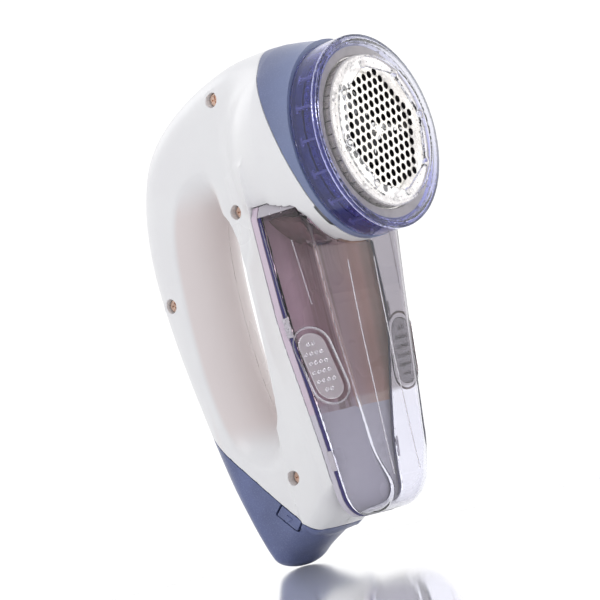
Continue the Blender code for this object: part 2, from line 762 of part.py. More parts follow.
def build_lint_box():
    """The clear box, open at its back and under the head, with its grips."""
    rear = BOX_BACK_THICK + GAP
    outer = loft([(z, trapezium(*size, BOX_CORNER_R)) for z, *size in box_sections(0.0, rear)], "lint_box")
    for side in (-1, 1):
        join(outer, grip_pad(side))
    outer = bake(outer)
    inner_r = BOX_CORNER_R - BOX_WALL
    rings = [(z, trapezium(*size, inner_r)) for z, *size in box_sections(BOX_WALL, -0.01)]
    rings[-1] = (rings[-1][0] + 0.01, rings[-1][1])
    cut(outer, loft(rings, "inner"))
    cut(outer, head_cut(0.0005))
    cut(outer, head_front_room())
    finish_part(bake(outer), "lint_box", "clear_box")

    plate = loft([(z, trapezium(back - BOX_BACK_THICK, back, rear_w, rear_w))
                  for z, _, back, _, rear_w in box_sections(0.0, 0.0)], "plate")
    cut(plate, head_cut(0.0005))
    cut(plate, chute_block(0.0005))
    finish_part(bake(plate), "lint_box_back", "clear_box")


def head_front_room():
    """Keeps the box clear of the collar and guard in front of the dome."""
    profile = ((0.0, -0.060), (0.0372, -0.060), (0.0372, -0.022), (0.0, -0.022))
    return turned(profile, 40, "front_room")


def grip_pad(side):
    """A stadium-shaped finger pad standing off one side wall."""
    upper, lower = Vector((BOX_SECTIONS[1])), Vector((BOX_SECTIONS[2]))
    blend = (GRIP_Z - lower[0]) / (upper[0] - lower[0])
    at = lower.lerp(upper, blend)
    front = Vector((side * at[3], at[1], GRIP_Z))
    back = Vector((side * at[4], at[2], GRIP_Z))
    share = (GRIP_Y - at[1]) / (at[2] - at[1])
    middle = front.lerp(back, share)
    along = (back - front).normalized()
    up = Vector((side * (upper[3] - lower[3]), upper[1] - lower[1], upper[0] - lower[0])).normalized()
    out = along.cross(up).normalized()
    if out.x * side < 0:
        out = -out
    across = up.cross(out).normalized()
    frame = Matrix((across, up, out)).transposed().to_4x4()
    frame.translation = middle
    half = GRIP_WIDTH / 2
    reach = GRIP_LENGTH / 2 - half
    outline = []
    for end, first in ((1, 0.0), (-1, pi)):
        for step in range(GRIP_STEPS + 1):
            angle = first + pi * step / GRIP_STEPS
            outline.append((half * cos(angle), end * reach + half * sin(angle)))
    pad = loft([(-0.0010, outline), (GRIP_PROUD, outline)], "pad")
    pad.matrix_world = frame
    return pad


# ================================================================ battery bay
def latch_plate(grow, drop, depth, name):
    """The latch tab's outline on the cover's left side, as a block."""
    rear, front = Vector(SEAM_REAR), Vector(SEAM_FRONT)
    along = (rear - front).normalized()
    normal = Vector((along.y, -along.x))
    width, reach = 0.0098, 0.0050
    centre = front + along * 0.0074 + normal * (reach / 2 + drop)
    obj = centred_block((depth, width + 2 * grow, reach + 2 * grow), name)
    angle = Vector((1, 0)).angle_signed(along) * -1
    obj.rotation_euler = (angle, 0.0, 0.0)
    obj.location = (-HALF_WIDTH, centre.x, centre.y)
    return obj


def add_cover_details(cover):
    """Cut the latch window, fit the shelf and finish the battery cover."""
    cut(cover, latch_plate(GAP, 0.0, 0.0052, "latch_window"))
    cover = bake(cover)
    finish_part(cover, "battery_cover", "blue_trim")
    tab = latch_plate(-0.0001, 0.00005, 0.0018, "latch_tab")
    tab.location.x = -HALF_WIDTH + 0.0009
    finish_part(settle(tab), "cover_latch", "blue_trim")


def cell_axis():
    return Vector((0.0, sin(CELL_TILT), cos(CELL_TILT)))


def build_power():
    """Two cells, their contacts, and the wires to the switch and motor."""
    axis = cell_axis()
    foot = Vector((0.0, *CELL_FOOT))
    for side, name in ((-1, "battery_cell_left"), (1, "battery_cell_right")):
        base = foot + Vector((side * CELL_X, 0, 0))
        cell = rod(CELL_R, base, base + axis * CELL_LENGTH, 24, name)
        nib = rod(0.0027, base + axis * (CELL_LENGTH - 0.001), base + axis * (CELL_LENGTH + CELL_NIB_LENGTH), 16, "nib")
        join(cell, nib)
        finish_part(bake(cell), name, "cell_wrap")
        plate_at = base + axis * (CELL_LENGTH + CELL_NIB_LENGTH + GAP)
        plate = centred_block((0.0110, 0.0100, 0.0006), "plate")
        plate.rotation_euler = (-CELL_TILT, 0.0, 0.0)
        plate.location = plate_at + axis * GAP
        finish_part(settle(plate), "contact_plate_" + name.rsplit("_", 1)[1], "brass")
        height = 0.0042
        spring = coil(base - axis * (height + 0.0008), 0.0030, height, 3, "spring", 0.0004, axis)
        finish_part(settle(spring), "battery_spring_" + name.rsplit("_", 1)[1], "spring_steel")
    link_at = foot - axis * 0.0062
    link = centred_block((0.0216, 0.0090, 0.0006), "link")
    link.rotation_euler = (-CELL_TILT, 0.0, 0.0)
    link.location = link_at
    finish_part(settle(link), "cover_contact", "brass")

    top = foot + axis * (CELL_LENGTH + CELL_NIB_LENGTH + 0.0022)
    switch_in = switch_frame() @ Vector((0.0, 0.0050, -0.0107))
    switch_out = switch_frame() @ Vector((0.0, -0.0050, -0.0107))
    back = MOTOR_FRONT_Y + MOTOR_LENGTH
    routes = (
        ("wire_battery", "wire_red", (
            (-0.0045, top.y, top.z), (-0.0045, 0.0340, 0.0950), (-0.0045, 0.0375, 0.1150),
            (-0.0030, 0.0345, 0.1350), tuple(switch_in))),
        ("wire_motor", "wire_black", (
            (0.0045, top.y, top.z), (0.0045, 0.0340, 0.0950), (0.0050, 0.0370, 0.1150),
            (0.0060, 0.0260, 0.1310), (0.0060, back + 0.0060, AXIS_Z))),
        ("wire_switch", "wire_red", (
            tuple(switch_out), (-0.0030, 0.0100, 0.1490), (-0.0060, 0.0080, 0.1410),
            (-0.0060, back + 0.0060, AXIS_Z))),
    )
    for name, finish, route in routes:
        lead = wire(round_line(route, 14), 0.0006, name)
        finish_part(settle(lead), name, finish)


# ================================================================ fasteners
def build_screws():
    """One screw for each seat, its head in the left half's counterbore."""
    head_x = -(HALF_WIDTH - SCREW_SEAT_DEPTH) - GAP
    for i, (y, z) in enumerate(SCREW_SEATS):
        screw = rod(0.0021, (head_x - 0.0014, y, z), (head_x, y, z), 16, "head")
        join(screw, rod(SCREW_SHANK_R, (head_x - 0.0004, y, z), (0.0080, y, z), 12, "shank"))
        screw = bake(screw)
        cut(screw, block((head_x - 0.002, y - 0.0014, z - 0.0003), (head_x - 0.0008, y + 0.0014, z + 0.0003), "slot"))
        cut(screw, block((head_x - 0.002, y - 0.0003, z - 0.0014), (head_x - 0.0008, y + 0.0003, z + 0.0014), "slot"))
        finish_part(bake(screw), "housing_screw_%d" % (i + 1), "motor_steel")


def main():
    clear_scene()
    collection(PARTS)
    collection(CUTTERS)
    build_housing()
    build_switch()
    build_collar()
    build_guard()
    build_foil()
    build_chamber()
    build_cutter()
    build_motor()
    build_chute()
    build_lint_box()
    build_power()
    build_screws()


main()
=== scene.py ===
"""Looks for the hand-held fabric shaver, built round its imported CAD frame.

Shapes are worked out in millimetres in the row frame (+Z up, -Y to the front
of the head) and turned into metres when a mesh is made.
"""

from math import cos, pi, radians, sin, sqrt

import bmesh
import bpy
import numpy as np
from mathutils import Matrix, Vector


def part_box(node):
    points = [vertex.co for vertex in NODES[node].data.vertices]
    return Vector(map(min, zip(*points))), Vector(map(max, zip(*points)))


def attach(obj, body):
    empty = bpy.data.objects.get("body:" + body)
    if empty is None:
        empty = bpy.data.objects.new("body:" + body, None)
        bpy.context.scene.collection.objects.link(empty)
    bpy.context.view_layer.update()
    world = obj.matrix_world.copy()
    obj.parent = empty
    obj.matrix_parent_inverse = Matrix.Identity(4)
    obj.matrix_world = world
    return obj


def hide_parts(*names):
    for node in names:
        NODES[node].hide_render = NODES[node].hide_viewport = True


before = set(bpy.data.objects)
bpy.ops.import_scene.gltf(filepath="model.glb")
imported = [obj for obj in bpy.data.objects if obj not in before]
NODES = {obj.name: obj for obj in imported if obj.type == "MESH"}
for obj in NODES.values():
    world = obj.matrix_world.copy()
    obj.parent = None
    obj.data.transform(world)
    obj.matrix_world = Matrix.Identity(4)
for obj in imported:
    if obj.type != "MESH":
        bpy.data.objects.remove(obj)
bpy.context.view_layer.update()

MM = 0.001
PITCH = 0.75                # cells of the surfaces: the shells,
BOX_PITCH = 0.55            # the lint box,
RING_PITCH = 0.42           # the guard,
TAB_PITCH = 0.32            # the latch tab
CHUTE_PITCH = 0.8                             # the chute
THUMB_PITCH = 0.4                             # and the switch
GAP = 0.3                                     # between pieces that meet
SPLIT = 0.06                                  # half the slit between the housing halves
AXIS_Z = 1000 * (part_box("foil")[0].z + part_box("foil")[1].z) / 2
FACE_Y = 1000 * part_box("foil")[0].y           # outer face of the foil
HEAD_R = 35.0                                 # widest part of the white head
HEAD_Z = 133.0                                # its axis at the collar
HEAD_LIFT = 1.4                               # how much higher its axis ends at the back
HEAD_TAPER = 1.2                              # how much narrower it starts at the collar
HEAD_TAIL = -33.0                             # its dome runs back from this y
HEAD_LENGTH = 36.5
HEAD_POWER = 2.3                              # roundness of the dome
HALF_W = 17.0                                 # half the loop's width
TOE_W = 14.8                                  # half its width at the tip
WALL = 2.0

# The loop's side outline and its finger hole, as (y, z).
OUTLINE = (
    (26.2, 0.0), (29.2, 1.3), (31.3, 5.0), (33.4, 11.5), (36.3, 21.0), (39.0, 28.6), (41.4, 36.5),
    (43.6, 45.0), (45.7, 54.5), (48.0, 67.5), (50.1, 82.5), (51.4, 97.0), (51.75, 107.5), (51.2, 117.5),
    (49.6, 127.5), (46.8, 136.8), (42.6, 145.6), (36.4, 152.8), (28.0, 158.9), (18.0, 163.8), (9.0, 166.9),
    (0.0, 169.1), (-9.0, 169.8), (-17.0, 169.3), (-25.0, 167.0), (-33.0, 164.2), (-45.0, 160.0),
    (-45.0, 112.0), (-14.0, 108.0), (-7.6, 100.0), (-7.2, 80.0), (-6.6, 60.0), (-5.4, 40.0), (-4.9, 28.0),
    (-4.0, 20.5), (-1.0, 15.2), (4.0, 11.6), (10.0, 8.4), (16.0, 5.4), (20.5, 3.0), (23.4, 0.9),
)
HOLE = (
    (19.0, 46.6), (12.8, 44.6), (8.9, 49.0), (7.6, 60.0), (6.7, 78.0), (6.2, 94.0), (6.2, 104.0),
    (7.0, 111.0), (8.4, 116.7), (11.2, 121.5), (15.0, 124.4), (19.0, 123.4), (22.2, 117.0),
    (24.0, 107.0), (24.8, 95.0), (24.9, 82.0), (24.2, 68.0), (22.3, 55.5),
)
SEAM_REAR = np.array((43.6, 53.4))
SEAM_FRONT = np.array((7.0, 10.2))
JOINT_Z = 134.0                               # the collar's joint bows: y against z
JOINT_Y = (-31.4, 0.250, 0.0050)
NOTCH_Y = -27.0                               # the head wraps the lint box in front of this
SEATS = ((3.5, 158.0), (4.5, 119.5), (41.5, 96.0), (8.5, 29.0))   # screw seats, as (y, z)
SEAT_R = 2.5
SEAT_FLOOR = 12.5                             # the seats' depth, from the middle plane
BOSS_R = 3.7
BOSS_END = 15.8
SWITCH_AT = (24.5, 160.2)                     # the switch slot's middle, as (y, z)
SWITCH_LEAN = radians(-28.0)
THUMB_AT = (23.6, 160.7)
LATCH_AT = 10.1                               # the latch tab's middle, along the seam
LATCH_HALF = 5.1
LATCH_REACH = 4.5                             # how far it runs down from the seam
LATCH_SLOT = 0.7
LATCH_DEPTH = 10.5                            # the tab lies outside this x
MARK_DOWN = 2.5                               # the raised triangle's middle, below the seam
MARK_SIZE = 0.75
CROWN_TURN = radians(9.6)                     # the guard's eight-sided opening
CROWN_R = 22.1                                # and the knobs at its corners
RIB_COUNT = 18
FOIL_R = 25.6
FOIL_RIM_R = 27.5
FOIL_DEPTH = 3.5
HOLE_R = 1.27                                 # the foil's large holes
HOLE_PITCH = 3.4
HOLE_TURN = radians(14)
# Lint box: z, front y, rear y, half widths at the front and rear.
BOX_ROWS = (
    (116.0, -29.8, -10.6, 27.6, 30.4),
    (76.0, -26.6, -10.4, 23.3, 30.2),
    (50.0, -25.6, -8.0, 19.9, 22.6),
    (28.0, -24.7, -6.2, 16.8, 17.2),
)
BOX_FOOT_Z = 11.0
BOX_TOP_Z = 117.6
BOX_WALL = 1.5
BOX_OPEN = -20.0                              # carries an inner cut out through the rear
CAP_Z = 113.7                                 # lowest edge of the box's bevelled top
HOOK_Z = (76.5, 31.0)
HOOK_HALF = 3.4
GRIP_AT = (62.0, -18.6)                       # the finger pads' middle, as (z, y)
GRIP_LEAN = 0.10
CHUTE_TRIM = 5.5                              # the visible duct stops inside the head
CAMERA_TURN = radians(-53.77)
CAMERA_RISE = radians(-3.82)
CAMERA_ROLL = radians(14.39)
CAMERA_DISTANCE = 1.2
CAMERA_LENS = 214.3
CAMERA_AIM_Z = 0.085
CAMERA_SHIFT = (-0.00077, 0.00141)            # across and up in the picture


# ---------------- materials
class Look:
    """A small helper that builds one node material."""

    def __init__(self, name, colour, roughness, metallic=0.0):
        self.mat = bpy.data.materials.new(name)
        self.mat.use_nodes = True
        self.nodes = self.mat.node_tree.nodes
        self.links = self.mat.node_tree.links
        self.shader = self.nodes["Principled BSDF"]
        self.set("Base Color", (*colour, 1.0))
        self.set("Roughness", roughness)
        self.set("Metallic", metallic)
        self.mat.diffuse_color = (*colour, 1.0)
        self.place = self.nodes.new("ShaderNodeTexCoord").outputs["Object"]

    def set(self, socket, value):
        self.shader.inputs[socket].default_value = value
        return self

    def noise(self, scale, detail=3.0, stretch=None):
        node = self.nodes.new("ShaderNodeTexNoise")
        node.inputs["Scale"].default_value = scale
        node.inputs["Detail"].default_value = detail
        place = self.place
        if stretch:
            turn = self.nodes.new("ShaderNodeMapping")
            turn.inputs["Scale"].default_value = stretch
            self.links.new(place, turn.inputs["Vector"])
            place = turn.outputs["Vector"]
        self.links.new(place, node.inputs["Vector"])
        return node.outputs["Fac"]

    def ramp(self, value, low, high, a, b):
        """Map a value between low and high onto a to b, eased at both ends."""
        node = self.nodes.new("ShaderNodeMapRange")
        node.interpolation_type = "SMOOTHSTEP"
        node.inputs["From Min"].default_value = low
        node.inputs["From Max"].default_value = high
        node.inputs["To Min"].default_value = a
        node.inputs["To Max"].default_value = b
        self.links.new(value, node.inputs["Value"])
        return node.outputs["Result"]

    def maths(self, kind, a, b):
        node = self.nodes.new("ShaderNodeMath")
        node.operation = kind
        for slot, value in zip(node.inputs, (a, b)):
            if isinstance(value, (int, float)):
                slot.default_value = value
            else:
                self.links.new(value, slot)
        return node.outputs["Value"]

    def product(self, first, *others):
        for value in others:
            first = self.maths("MULTIPLY", first, value)
        return first

    def axis(self, letter):
        node = self.nodes.new("ShaderNodeSeparateXYZ")
        self.links.new(self.place, node.inputs["Vector"])
        return node.outputs[letter]

    def blend(self, factor, first, second):
        """Mix two colours, or an earlier mix and a colour, into Base Color."""
        node = self.nodes.new("ShaderNodeMix")
        node.data_type = "RGBA"
        self.links.new(factor, node.inputs[0])
        for slot, value in ((node.inputs[6], first), (node.inputs[7], second)):
            if isinstance(value, tuple):
                slot.default_value = (*value, 1.0)
            else:
                self.links.new(value, slot)
        self.links.new(node.outputs[2], self.shader.inputs["Base Color"])
        return node.outputs[2]

    def rough(self, value):
        self.links.new(value, self.shader.inputs["Roughness"])
        return self

    def bump(self, height, distance, strength=1.0):
        node = self.nodes.new("ShaderNodeBump")
        node.inputs["Distance"].default_value = distance
        node.inputs["Strength"].default_value = strength
        self.links.new(height, node.inputs["Height"])
        self.links.new(node.outputs["Normal"], self.shader.inputs["Normal"])
        return self


def moulded(name, colour, roughness, shade=0.9, grain=900.0, depth=0.00002):
    """Moulded plastic: a fine grain, soft roughness patches, slight mottling."""
    look = Look(name, colour, roughness)
    look.blend(look.ramp(look.noise(60.0), 0.35, 0.65, 0.0, 1.0), colour, tuple(c * shade for c in colour))
    look.rough(look.ramp(look.noise(25.0), 0.3, 0.7, roughness - 0.05, roughness + 0.07))
    look.bump(look.noise(grain, 4.0), depth)
    return look


def plastic(*values):
    """The material alone, for plastics that need no further nodes."""
    return moulded(*values).mat


def make_white():
    """White shell, with painted shade: rosy grey inside the finger hole and dark brown on the underside
    over the lint box.
    """
    look = Look("white_plastic", (0.80, 0.80, 0.805), 0.32)
    x, y, z = (look.axis(letter) for letter in "XYZ")
    x = look.maths("ABSOLUTE", x, 0.0)
    # Painted shade: a rosy grey inside the finger hole, where the grip's inner side lies in shade.
    hole = look.product(look.ramp(y, 0.004, 0.010, 0.0, 1.0), look.ramp(y, 0.0348, 0.0374, 1.0, 0.0),
                        look.ramp(z, 0.122, 0.134, 1.0, 0.0), look.ramp(z, 0.040, 0.052, 0.0, 1.0),
                        look.ramp(x, 0.0160, 0.0170, 1.0, 0.0), 0.85)
    # Painted shade: dark brown on the white body's underside and face within the lint box's reach, which
    # lie in shade.
    underside_shade = look.product(look.ramp(x, 0.0258, 0.0268, 1.0, 0.0), look.ramp(y, -0.0120, -0.0105, 1.0, 0.0),
                        look.ramp(y, -0.0275, -0.0265, 0.0, 1.0), look.ramp(z, 0.1165, 0.1175, 1.0, 0.0))
    mottle = look.ramp(look.noise(60.0), 0.35, 0.65, 0.0, 1.0)
    base = look.blend(mottle, (0.80, 0.80, 0.805), (0.785, 0.782, 0.79))
    base = look.blend(underside_shade, base, (0.30, 0.22, 0.21))
    look.blend(hole, base, (0.74, 0.665, 0.65))
    look.rough(look.ramp(look.noise(25.0), 0.3, 0.7, 0.27, 0.38))
    look.bump(look.noise(1200.0, 4.0), 0.000012)
    look.set("Coat Weight", 0.1)
    look.set("Coat Roughness", 0.2)
    return look.mat


def make_blue():
    """Blue plastic with a fine sparkle, paler on the collar towards the guard."""
    look = moulded("blue_plastic", (0.118, 0.145, 0.295), 0.36, 0.80, 1500.0, 0.00004)
    speck = look.ramp(look.noise(2600.0, 1.0), 0.52, 0.72, 0.0, 0.35)
    base = look.blend(speck, look.shader.inputs["Base Color"].links[0].from_socket, (0.25, 0.29, 0.46))
    look.blend(look.ramp(look.axis("Y"), -0.037, -0.018, 0.45, 0.0), base, (0.26, 0.31, 0.47))
    look.set("Coat Weight", 0.15)
    return look.mat


def metal(name, colour, roughness, stretch=(1.0, 1.0, 1.0), grain=700.0):
    """Metal with a drawn grain, patchy roughness and faint tarnish."""
    look = Look(name, colour, roughness, 1.0)
    drawn = look.noise(grain, 3.0, stretch)
    look.blend(look.ramp(look.noise(90.0), 0.4, 0.75, 0.0, 1.0), colour, tuple(c * 0.8 for c in colour))
    look.rough(look.ramp(drawn, 0.3, 0.7, roughness - 0.06, roughness + 0.12))
    look.bump(drawn, 0.00001)
    return look.mat


def clear(name, tint, roughness=0.04, weight=1.0, ior=1.46):
    """Clear moulded plastic with faint flow lines and tiny scuffs."""
    look = Look(name, tint, roughness)
    look.set("Transmission Weight", weight)
    look.set("IOR", ior)
    look.rough(look.ramp(look.noise(500.0, 4.0), 0.62, 0.80, roughness, roughness + 0.12))
    look.bump(look.noise(45.0, 2.0, (1.0, 1.0, 0.3)), 0.00012, 0.5)
    return look.mat


def guard_look():
    """Violet-tinted in the skirt, almost colourless in the web and crown."""
    look = Look("guard_plastic", (0.72, 0.73, 0.90), 0.03)
    look.set("Transmission Weight", 1.0)
    look.set("IOR", 1.46)
    skirt = look.ramp(look.axis("Y"), (FACE_Y - 0.6) * MM, (FACE_Y + 1.6) * MM, 0.0, 1.0)
    far = look.maths("ADD", look.axis("X"), look.maths("SUBTRACT", look.axis("Z"), AXIS_Z * MM))
    skirt = look.maths("MULTIPLY", skirt, look.ramp(far, 0.008, 0.040, 1.0, 0.25))
    look.blend(skirt, (0.93, 0.93, 0.96), (0.50, 0.51, 0.86))
    look.rough(look.ramp(look.noise(500.0, 4.0), 0.62, 0.80, 0.03, 0.12))
    look.bump(look.noise(45.0, 2.0), 0.00010, 0.5)
    return look.mat


def ring_look():
    """Grey in front, with the blue of the neck round its outside."""
    look = Look("foil_ring_plastic", (0.55, 0.50, 0.50), 0.34)
    across = look.maths("POWER", look.maths("ABSOLUTE", look.axis("X"), 0.0), 2.0)
    rise = look.maths("SUBTRACT", look.axis("Z"), AXIS_Z * MM)
    rise = look.maths("MULTIPLY", rise, rise)
    reach = look.maths("SQRT", look.maths("ADD", across, rise), 0.0)
    mottle = look.ramp(look.noise(200.0), 0.3, 0.7, 0.0, 1.0)
    grey = look.blend(mottle, (0.60, 0.55, 0.55), (0.46, 0.42, 0.43))
    look.blend(look.ramp(reach, 0.0291, 0.0293, 0.0, 1.0), grey, (0.15, 0.17, 0.40))
    look.rough(look.ramp(look.noise(60.0), 0.3, 0.7, 0.28, 0.42))
    look.bump(look.noise(1500.0, 3.0), 0.00001)
    return look.mat


def box_look():
    """Nearly colourless in the foot; above the moulded step a tint with painted shade and painted
    reflection.
    """
    look = Look("box_plastic", (0.90, 0.88, 0.93), 0.03)
    look.set("Transmission Weight", 1.0)
    look.set("IOR", 1.46)
    # Painted shade and reflection: above the step the near side is tinted brownish for the shaded inside,
    # the far side grey as a painted reflection of the far wall.
    far = look.ramp(look.axis("X"), -0.002, 0.004, 0.0, 1.0)
    shaded_tint = look.blend(far, (0.80, 0.68, 0.73), (0.60, 0.58, 0.62))
    high = look.ramp(look.axis("Z"), 0.0485, 0.0505, 0.0, 1.0)
    look.blend(high, (0.90, 0.90, 0.96), shaded_tint)
    look.rough(look.ramp(look.noise(400.0, 4.0), 0.62, 0.80, 0.02, 0.12))
    look.bump(look.noise(40.0, 2.0, (1.0, 1.0, 0.25)), 0.00010, 0.5)
    return look.mat


def back_plate_look():
    """Dark plate: a smoke tint darkened with painted shade of the box's inside; lilac on the near side,
    brown in the middle, peach on the far side, paler below the step near the foot.
    """
    look = Look("smoke_and_shade_plate", (0.30, 0.22, 0.24), 0.28)
    across = look.axis("X")
    # Painted shade: the plate's dark browns stand for the shaded wall behind the box, seen through the
    # shell.
    streak = look.ramp(look.noise(60.0, 3.0, (4.0, 1.0, 0.12)), 0.38, 0.62, 0.0, 1.0)
    tint_and_shade = look.blend(streak, (0.24, 0.15, 0.15), (0.44, 0.33, 0.36))
    cool = look.ramp(across, -0.022, -0.008, 0.85, 0.0)
    tint_and_shade = look.blend(cool, tint_and_shade, (0.66, 0.56, 0.66))
    warm = look.ramp(across, 0.000, 0.020, 0.0, 0.8)
    tint_and_shade = look.blend(warm, tint_and_shade, (0.70, 0.42, 0.30))
    low = look.ramp(look.axis("Z"), 0.0470, 0.0474, 1.0, 0.0)
    look.blend(low, tint_and_shade, (0.56, 0.53, 0.60))
    look.rough(look.ramp(look.noise(30.0), 0.3, 0.7, 0.2, 0.36))
    look.bump(look.noise(800.0, 3.0), 0.00002)
    return look.mat


# ---------------- mesh helpers
def mesh_object(name, verts, faces, mat, smooth=40.0):
    """A mesh object from vertices in millimetres."""
    mesh = bpy.data.meshes.new(name)
    faces = faces if isinstance(faces, list) else faces.tolist()
    mesh.from_pydata(np.asarray(verts, float) * MM, [], faces)
    mesh.update()
    mesh.materials.append(mat)
    obj = bpy.data.objects.new(name, mesh)
    bpy.context.scene.collection.objects.link(obj)
    if smooth is not None:
        mesh.shade_smooth()
        mesh.set_sharp_from_angle(angle=radians(smooth))
    return obj


def band_faces(base, rings, sides, closed=False):
    """Quads between stacked rings of vertices, and back to the first if closed."""
    faces = []
    for i in range(rings if closed else rings - 1):
        a, b = base + i * sides, base + (i + 1) % rings * sides
        for k in range(sides):
            m = (k + 1) % sides
            faces.append((a + k, a + m, b + m, b + k))
    return faces


def dress(obj, body, slot_name, *nodes):
    """File a piece: its body and the CAD nodes it stands for, which are hidden; slot_name is not used."""
    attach(obj, body)
    if nodes:
        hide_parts(*nodes)
    return obj


# ---------------- fields
def closed_curve(points, per_span=6):
    """A smooth closed curve through a few points, as many short chords."""
    pts = np.array(points, float)
    a, b, c, d = (np.roll(pts, k, axis=0)[:, None, :] for k in (1, 0, -1, -2))
    t = (np.arange(per_span) / per_span)[None, :, None]
    square, cube = 2 * a - 5 * b + 4 * c - d, 3 * b - a - 3 * c + d
    run = 0.5 * (2 * b + (c - a) * t + square * t ** 2 + cube * t ** 3)
    return run.reshape(-1, 2)


class PlaneField:
    """Signed distance to a closed outline in the (y, z) plane, minus inside."""

    step = 0.5

    def __init__(self, points):
        self.low = np.array((-52.0, -12.0))
        self.count = (int(124 / self.step), int(196 / self.step))
        curve = closed_curve(points)
        ys = self.low[0] + self.step * np.arange(self.count[0])
        zs = self.low[1] + self.step * np.arange(self.count[1])
        y, z = (g.ravel() for g in np.meshgrid(ys, zs, indexing="ij"))
        near = np.full(y.shape, 1e9)
        inside = np.zeros(y.shape, bool)
        for p, q in zip(curve, np.roll(curve, -1, axis=0)):
            along = q - p
            t = np.clip(((y - p[0]) * along[0] + (z - p[1]) * along[1]) / (along @ along), 0, 1)
            near = np.minimum(near, (y - p[0] - t * along[0]) ** 2 + (z - p[1] - t * along[1]) ** 2)
            spans = (p[1] > z) != (q[1] > z)
            if along[1]:
                inside ^= spans & (y < p[0] + (z - p[1]) * along[0] / along[1])
        field = np.where(inside, -1, 1) * np.sqrt(near)
        self.grid = field.reshape(self.count)
        for _ in range(6):
            self.grid = self.softened(self.grid)

    @staticmethod
    def softened(g):
        """One light blur, which rounds the ridge down the middle of the shape."""
        wide = np.pad(g, 1, mode="edge")
        return 0.5 * g + 0.125 * (wide[2:, 1:-1] + wide[:-2, 1:-1] + wide[1:-1, 2:] + wide[1:-1, :-2])

    def __call__(self, y, z):
        u = np.clip((y - self.low[0]) / self.step, 0, self.count[0] - 1.001)
        v = np.clip((z - self.low[1]) / self.step, 0, self.count[1] - 1.001)
        i, j = u.astype(int), v.astype(int)
        u, v = u - i, v - j
        g = self.grid
        return ((1 - u) * (1 - v) * g[i, j] + u * (1 - v) * g[i + 1, j]
                + (1 - u) * v * g[i, j + 1] + u * v * g[i + 1, j + 1])


def ease(value, low, high):
    """0 below low, 1 above high and a smooth step between."""
    t = np.clip((value - low) / (high - low), 0, 1)
    return t * t * (3 - 2 * t)


def soft_union(a, b, reach):
    """The union of two solids with a fillet about reach wide."""
    h = np.clip(0.5 + 0.5 * (b - a) / reach, 0, 1)
    return b + (a - b) * h - reach * h * (1 - h)


outer_field = PlaneField(OUTLINE)
hole_field = PlaneField(HOLE)


def loop(x, y, z, inset):
    """The loop handle: rounded rear and grip, sharp edge on the stem's side."""
    half = TOE_W + (HALF_W - TOE_W) * ease(z, -2.0, 26.0) - inset
    rear = ease(y, 13.0, 25.0) * ease(z, 8.0, 62.0)
    rear = rear + (1 - ease(y, 13.0, 25.0)) * ease(z, 55.0, 90.0)
    round_r = 6.0 + 6.5 * rear - inset
    u = np.maximum(1 + (outer_field(y, z) + inset) / round_r, 0)
    grip = ease(y, 9.0, 17.0)
    hole = hole_field(y, z) - inset
    v = np.maximum(1 - hole / (11.5 - inset), 0) * grip
    handle = half * (np.sqrt((x / half) ** 2 + u ** 2.2 + v ** 1.25) - 1)
    return handle, -hole


def box_row(z, column):
    """One measure of the lint box at a height, eased between its rows."""
    rows = np.array(BOX_ROWS[::-1])
    steps = (-8.0, -4.0, 0.0, 4.0, 8.0)
    return sum(np.interp(z + step, rows[:, 0], rows[:, column]) for step in steps) / 5


def head_axis(y):
    """How far along the head's taper a depth is, from 0 to 1."""
    return np.clip((y + 36.0) / 14.0, 0, 1)


def head_round(x, y, z):
    """Distance from the white head's own axis, which rises towards the back."""
    return np.sqrt(x ** 2 + (z - HEAD_Z - HEAD_LIFT * head_axis(y)) ** 2)


def dome(x, y, z, inset):
    """The round head, fullest at the collar and drawn in towards the loop."""
    radius = HEAD_R - HEAD_TAPER + HEAD_TAPER * head_axis(y) - inset
    across = head_round(x, y, z) / radius
    back = np.maximum(y - HEAD_TAIL, 0) / (HEAD_LENGTH - inset)
    return radius * ((across ** HEAD_POWER + back ** HEAD_POWER) ** (1 / HEAD_POWER) - 1)


def shoulder(x, y, z, inset):
    """The stem's flare out to the lint box's back plate."""
    rear_w = box_row(z, 4) - 4.7 * np.clip((28.0 - z) / 16.0, 0, 1) ** 2
    rear_w = rear_w - 3.4 * np.clip((z - 116.0) / 18.0, 0, 1) ** 2
    front = box_row(z, 2) + GAP
    edge = 6.5 - 6.0 * ease(z, 96.0, 114.0)
    share = np.clip((edge - y) / (edge - front), 0, 1.2)
    side = HALF_W - 0.2 + (rear_w - HALF_W + 0.2) * share
    flank = (x - side + inset) * 0.8
    toe = outer_field(y, z) + inset - 40.0 * ease(z, 18.0, 44.0)
    slab = np.maximum.reduce((front + inset - y, y - edge - 3 + inset, z - 130.0 + inset))
    return np.maximum(rounded(flank, toe, 5.0 - inset), slab)


def rounded(a, b, radius):
    """The corner between two faces, rounded."""
    return np.hypot(np.maximum(a + radius, 0), np.maximum(b + radius, 0)) \
        + np.minimum(np.maximum(a, b) + radius, 0) - radius


def box_solid(p, inset, rear_shift):
    """The lint box's outer form, drawn in all round by inset."""
    x, y, z = np.abs(p[..., 0]), p[..., 1], p[..., 2]
    front, rear, front_w, rear_w = (box_row(z, k) for k in range(1, 5))
    low = np.clip((30.0 - z) / 18.0, 0, 1) ** 2
    run, rise = rear - front, rear_w - front_w
    side = ((x - front_w + 2.0 * low) * run - (y - front) * rise) / np.hypot(run, rise) + inset
    solid = rounded(front - y + inset, BOX_FOOT_Z - z + inset, 10.5 - inset)
    corner = 3.0 + 5.0 * ease(z, 34.0, 16.0)
    solid = rounded(solid, side, corner - inset)
    chamfer = (side * 3.6 + (z - 114.0 + inset) * 2.4) / 4.33
    solid = np.maximum.reduce((solid, chamfer, z - BOX_TOP_Z + inset))
    return np.maximum(solid, y - rear + rear_shift)


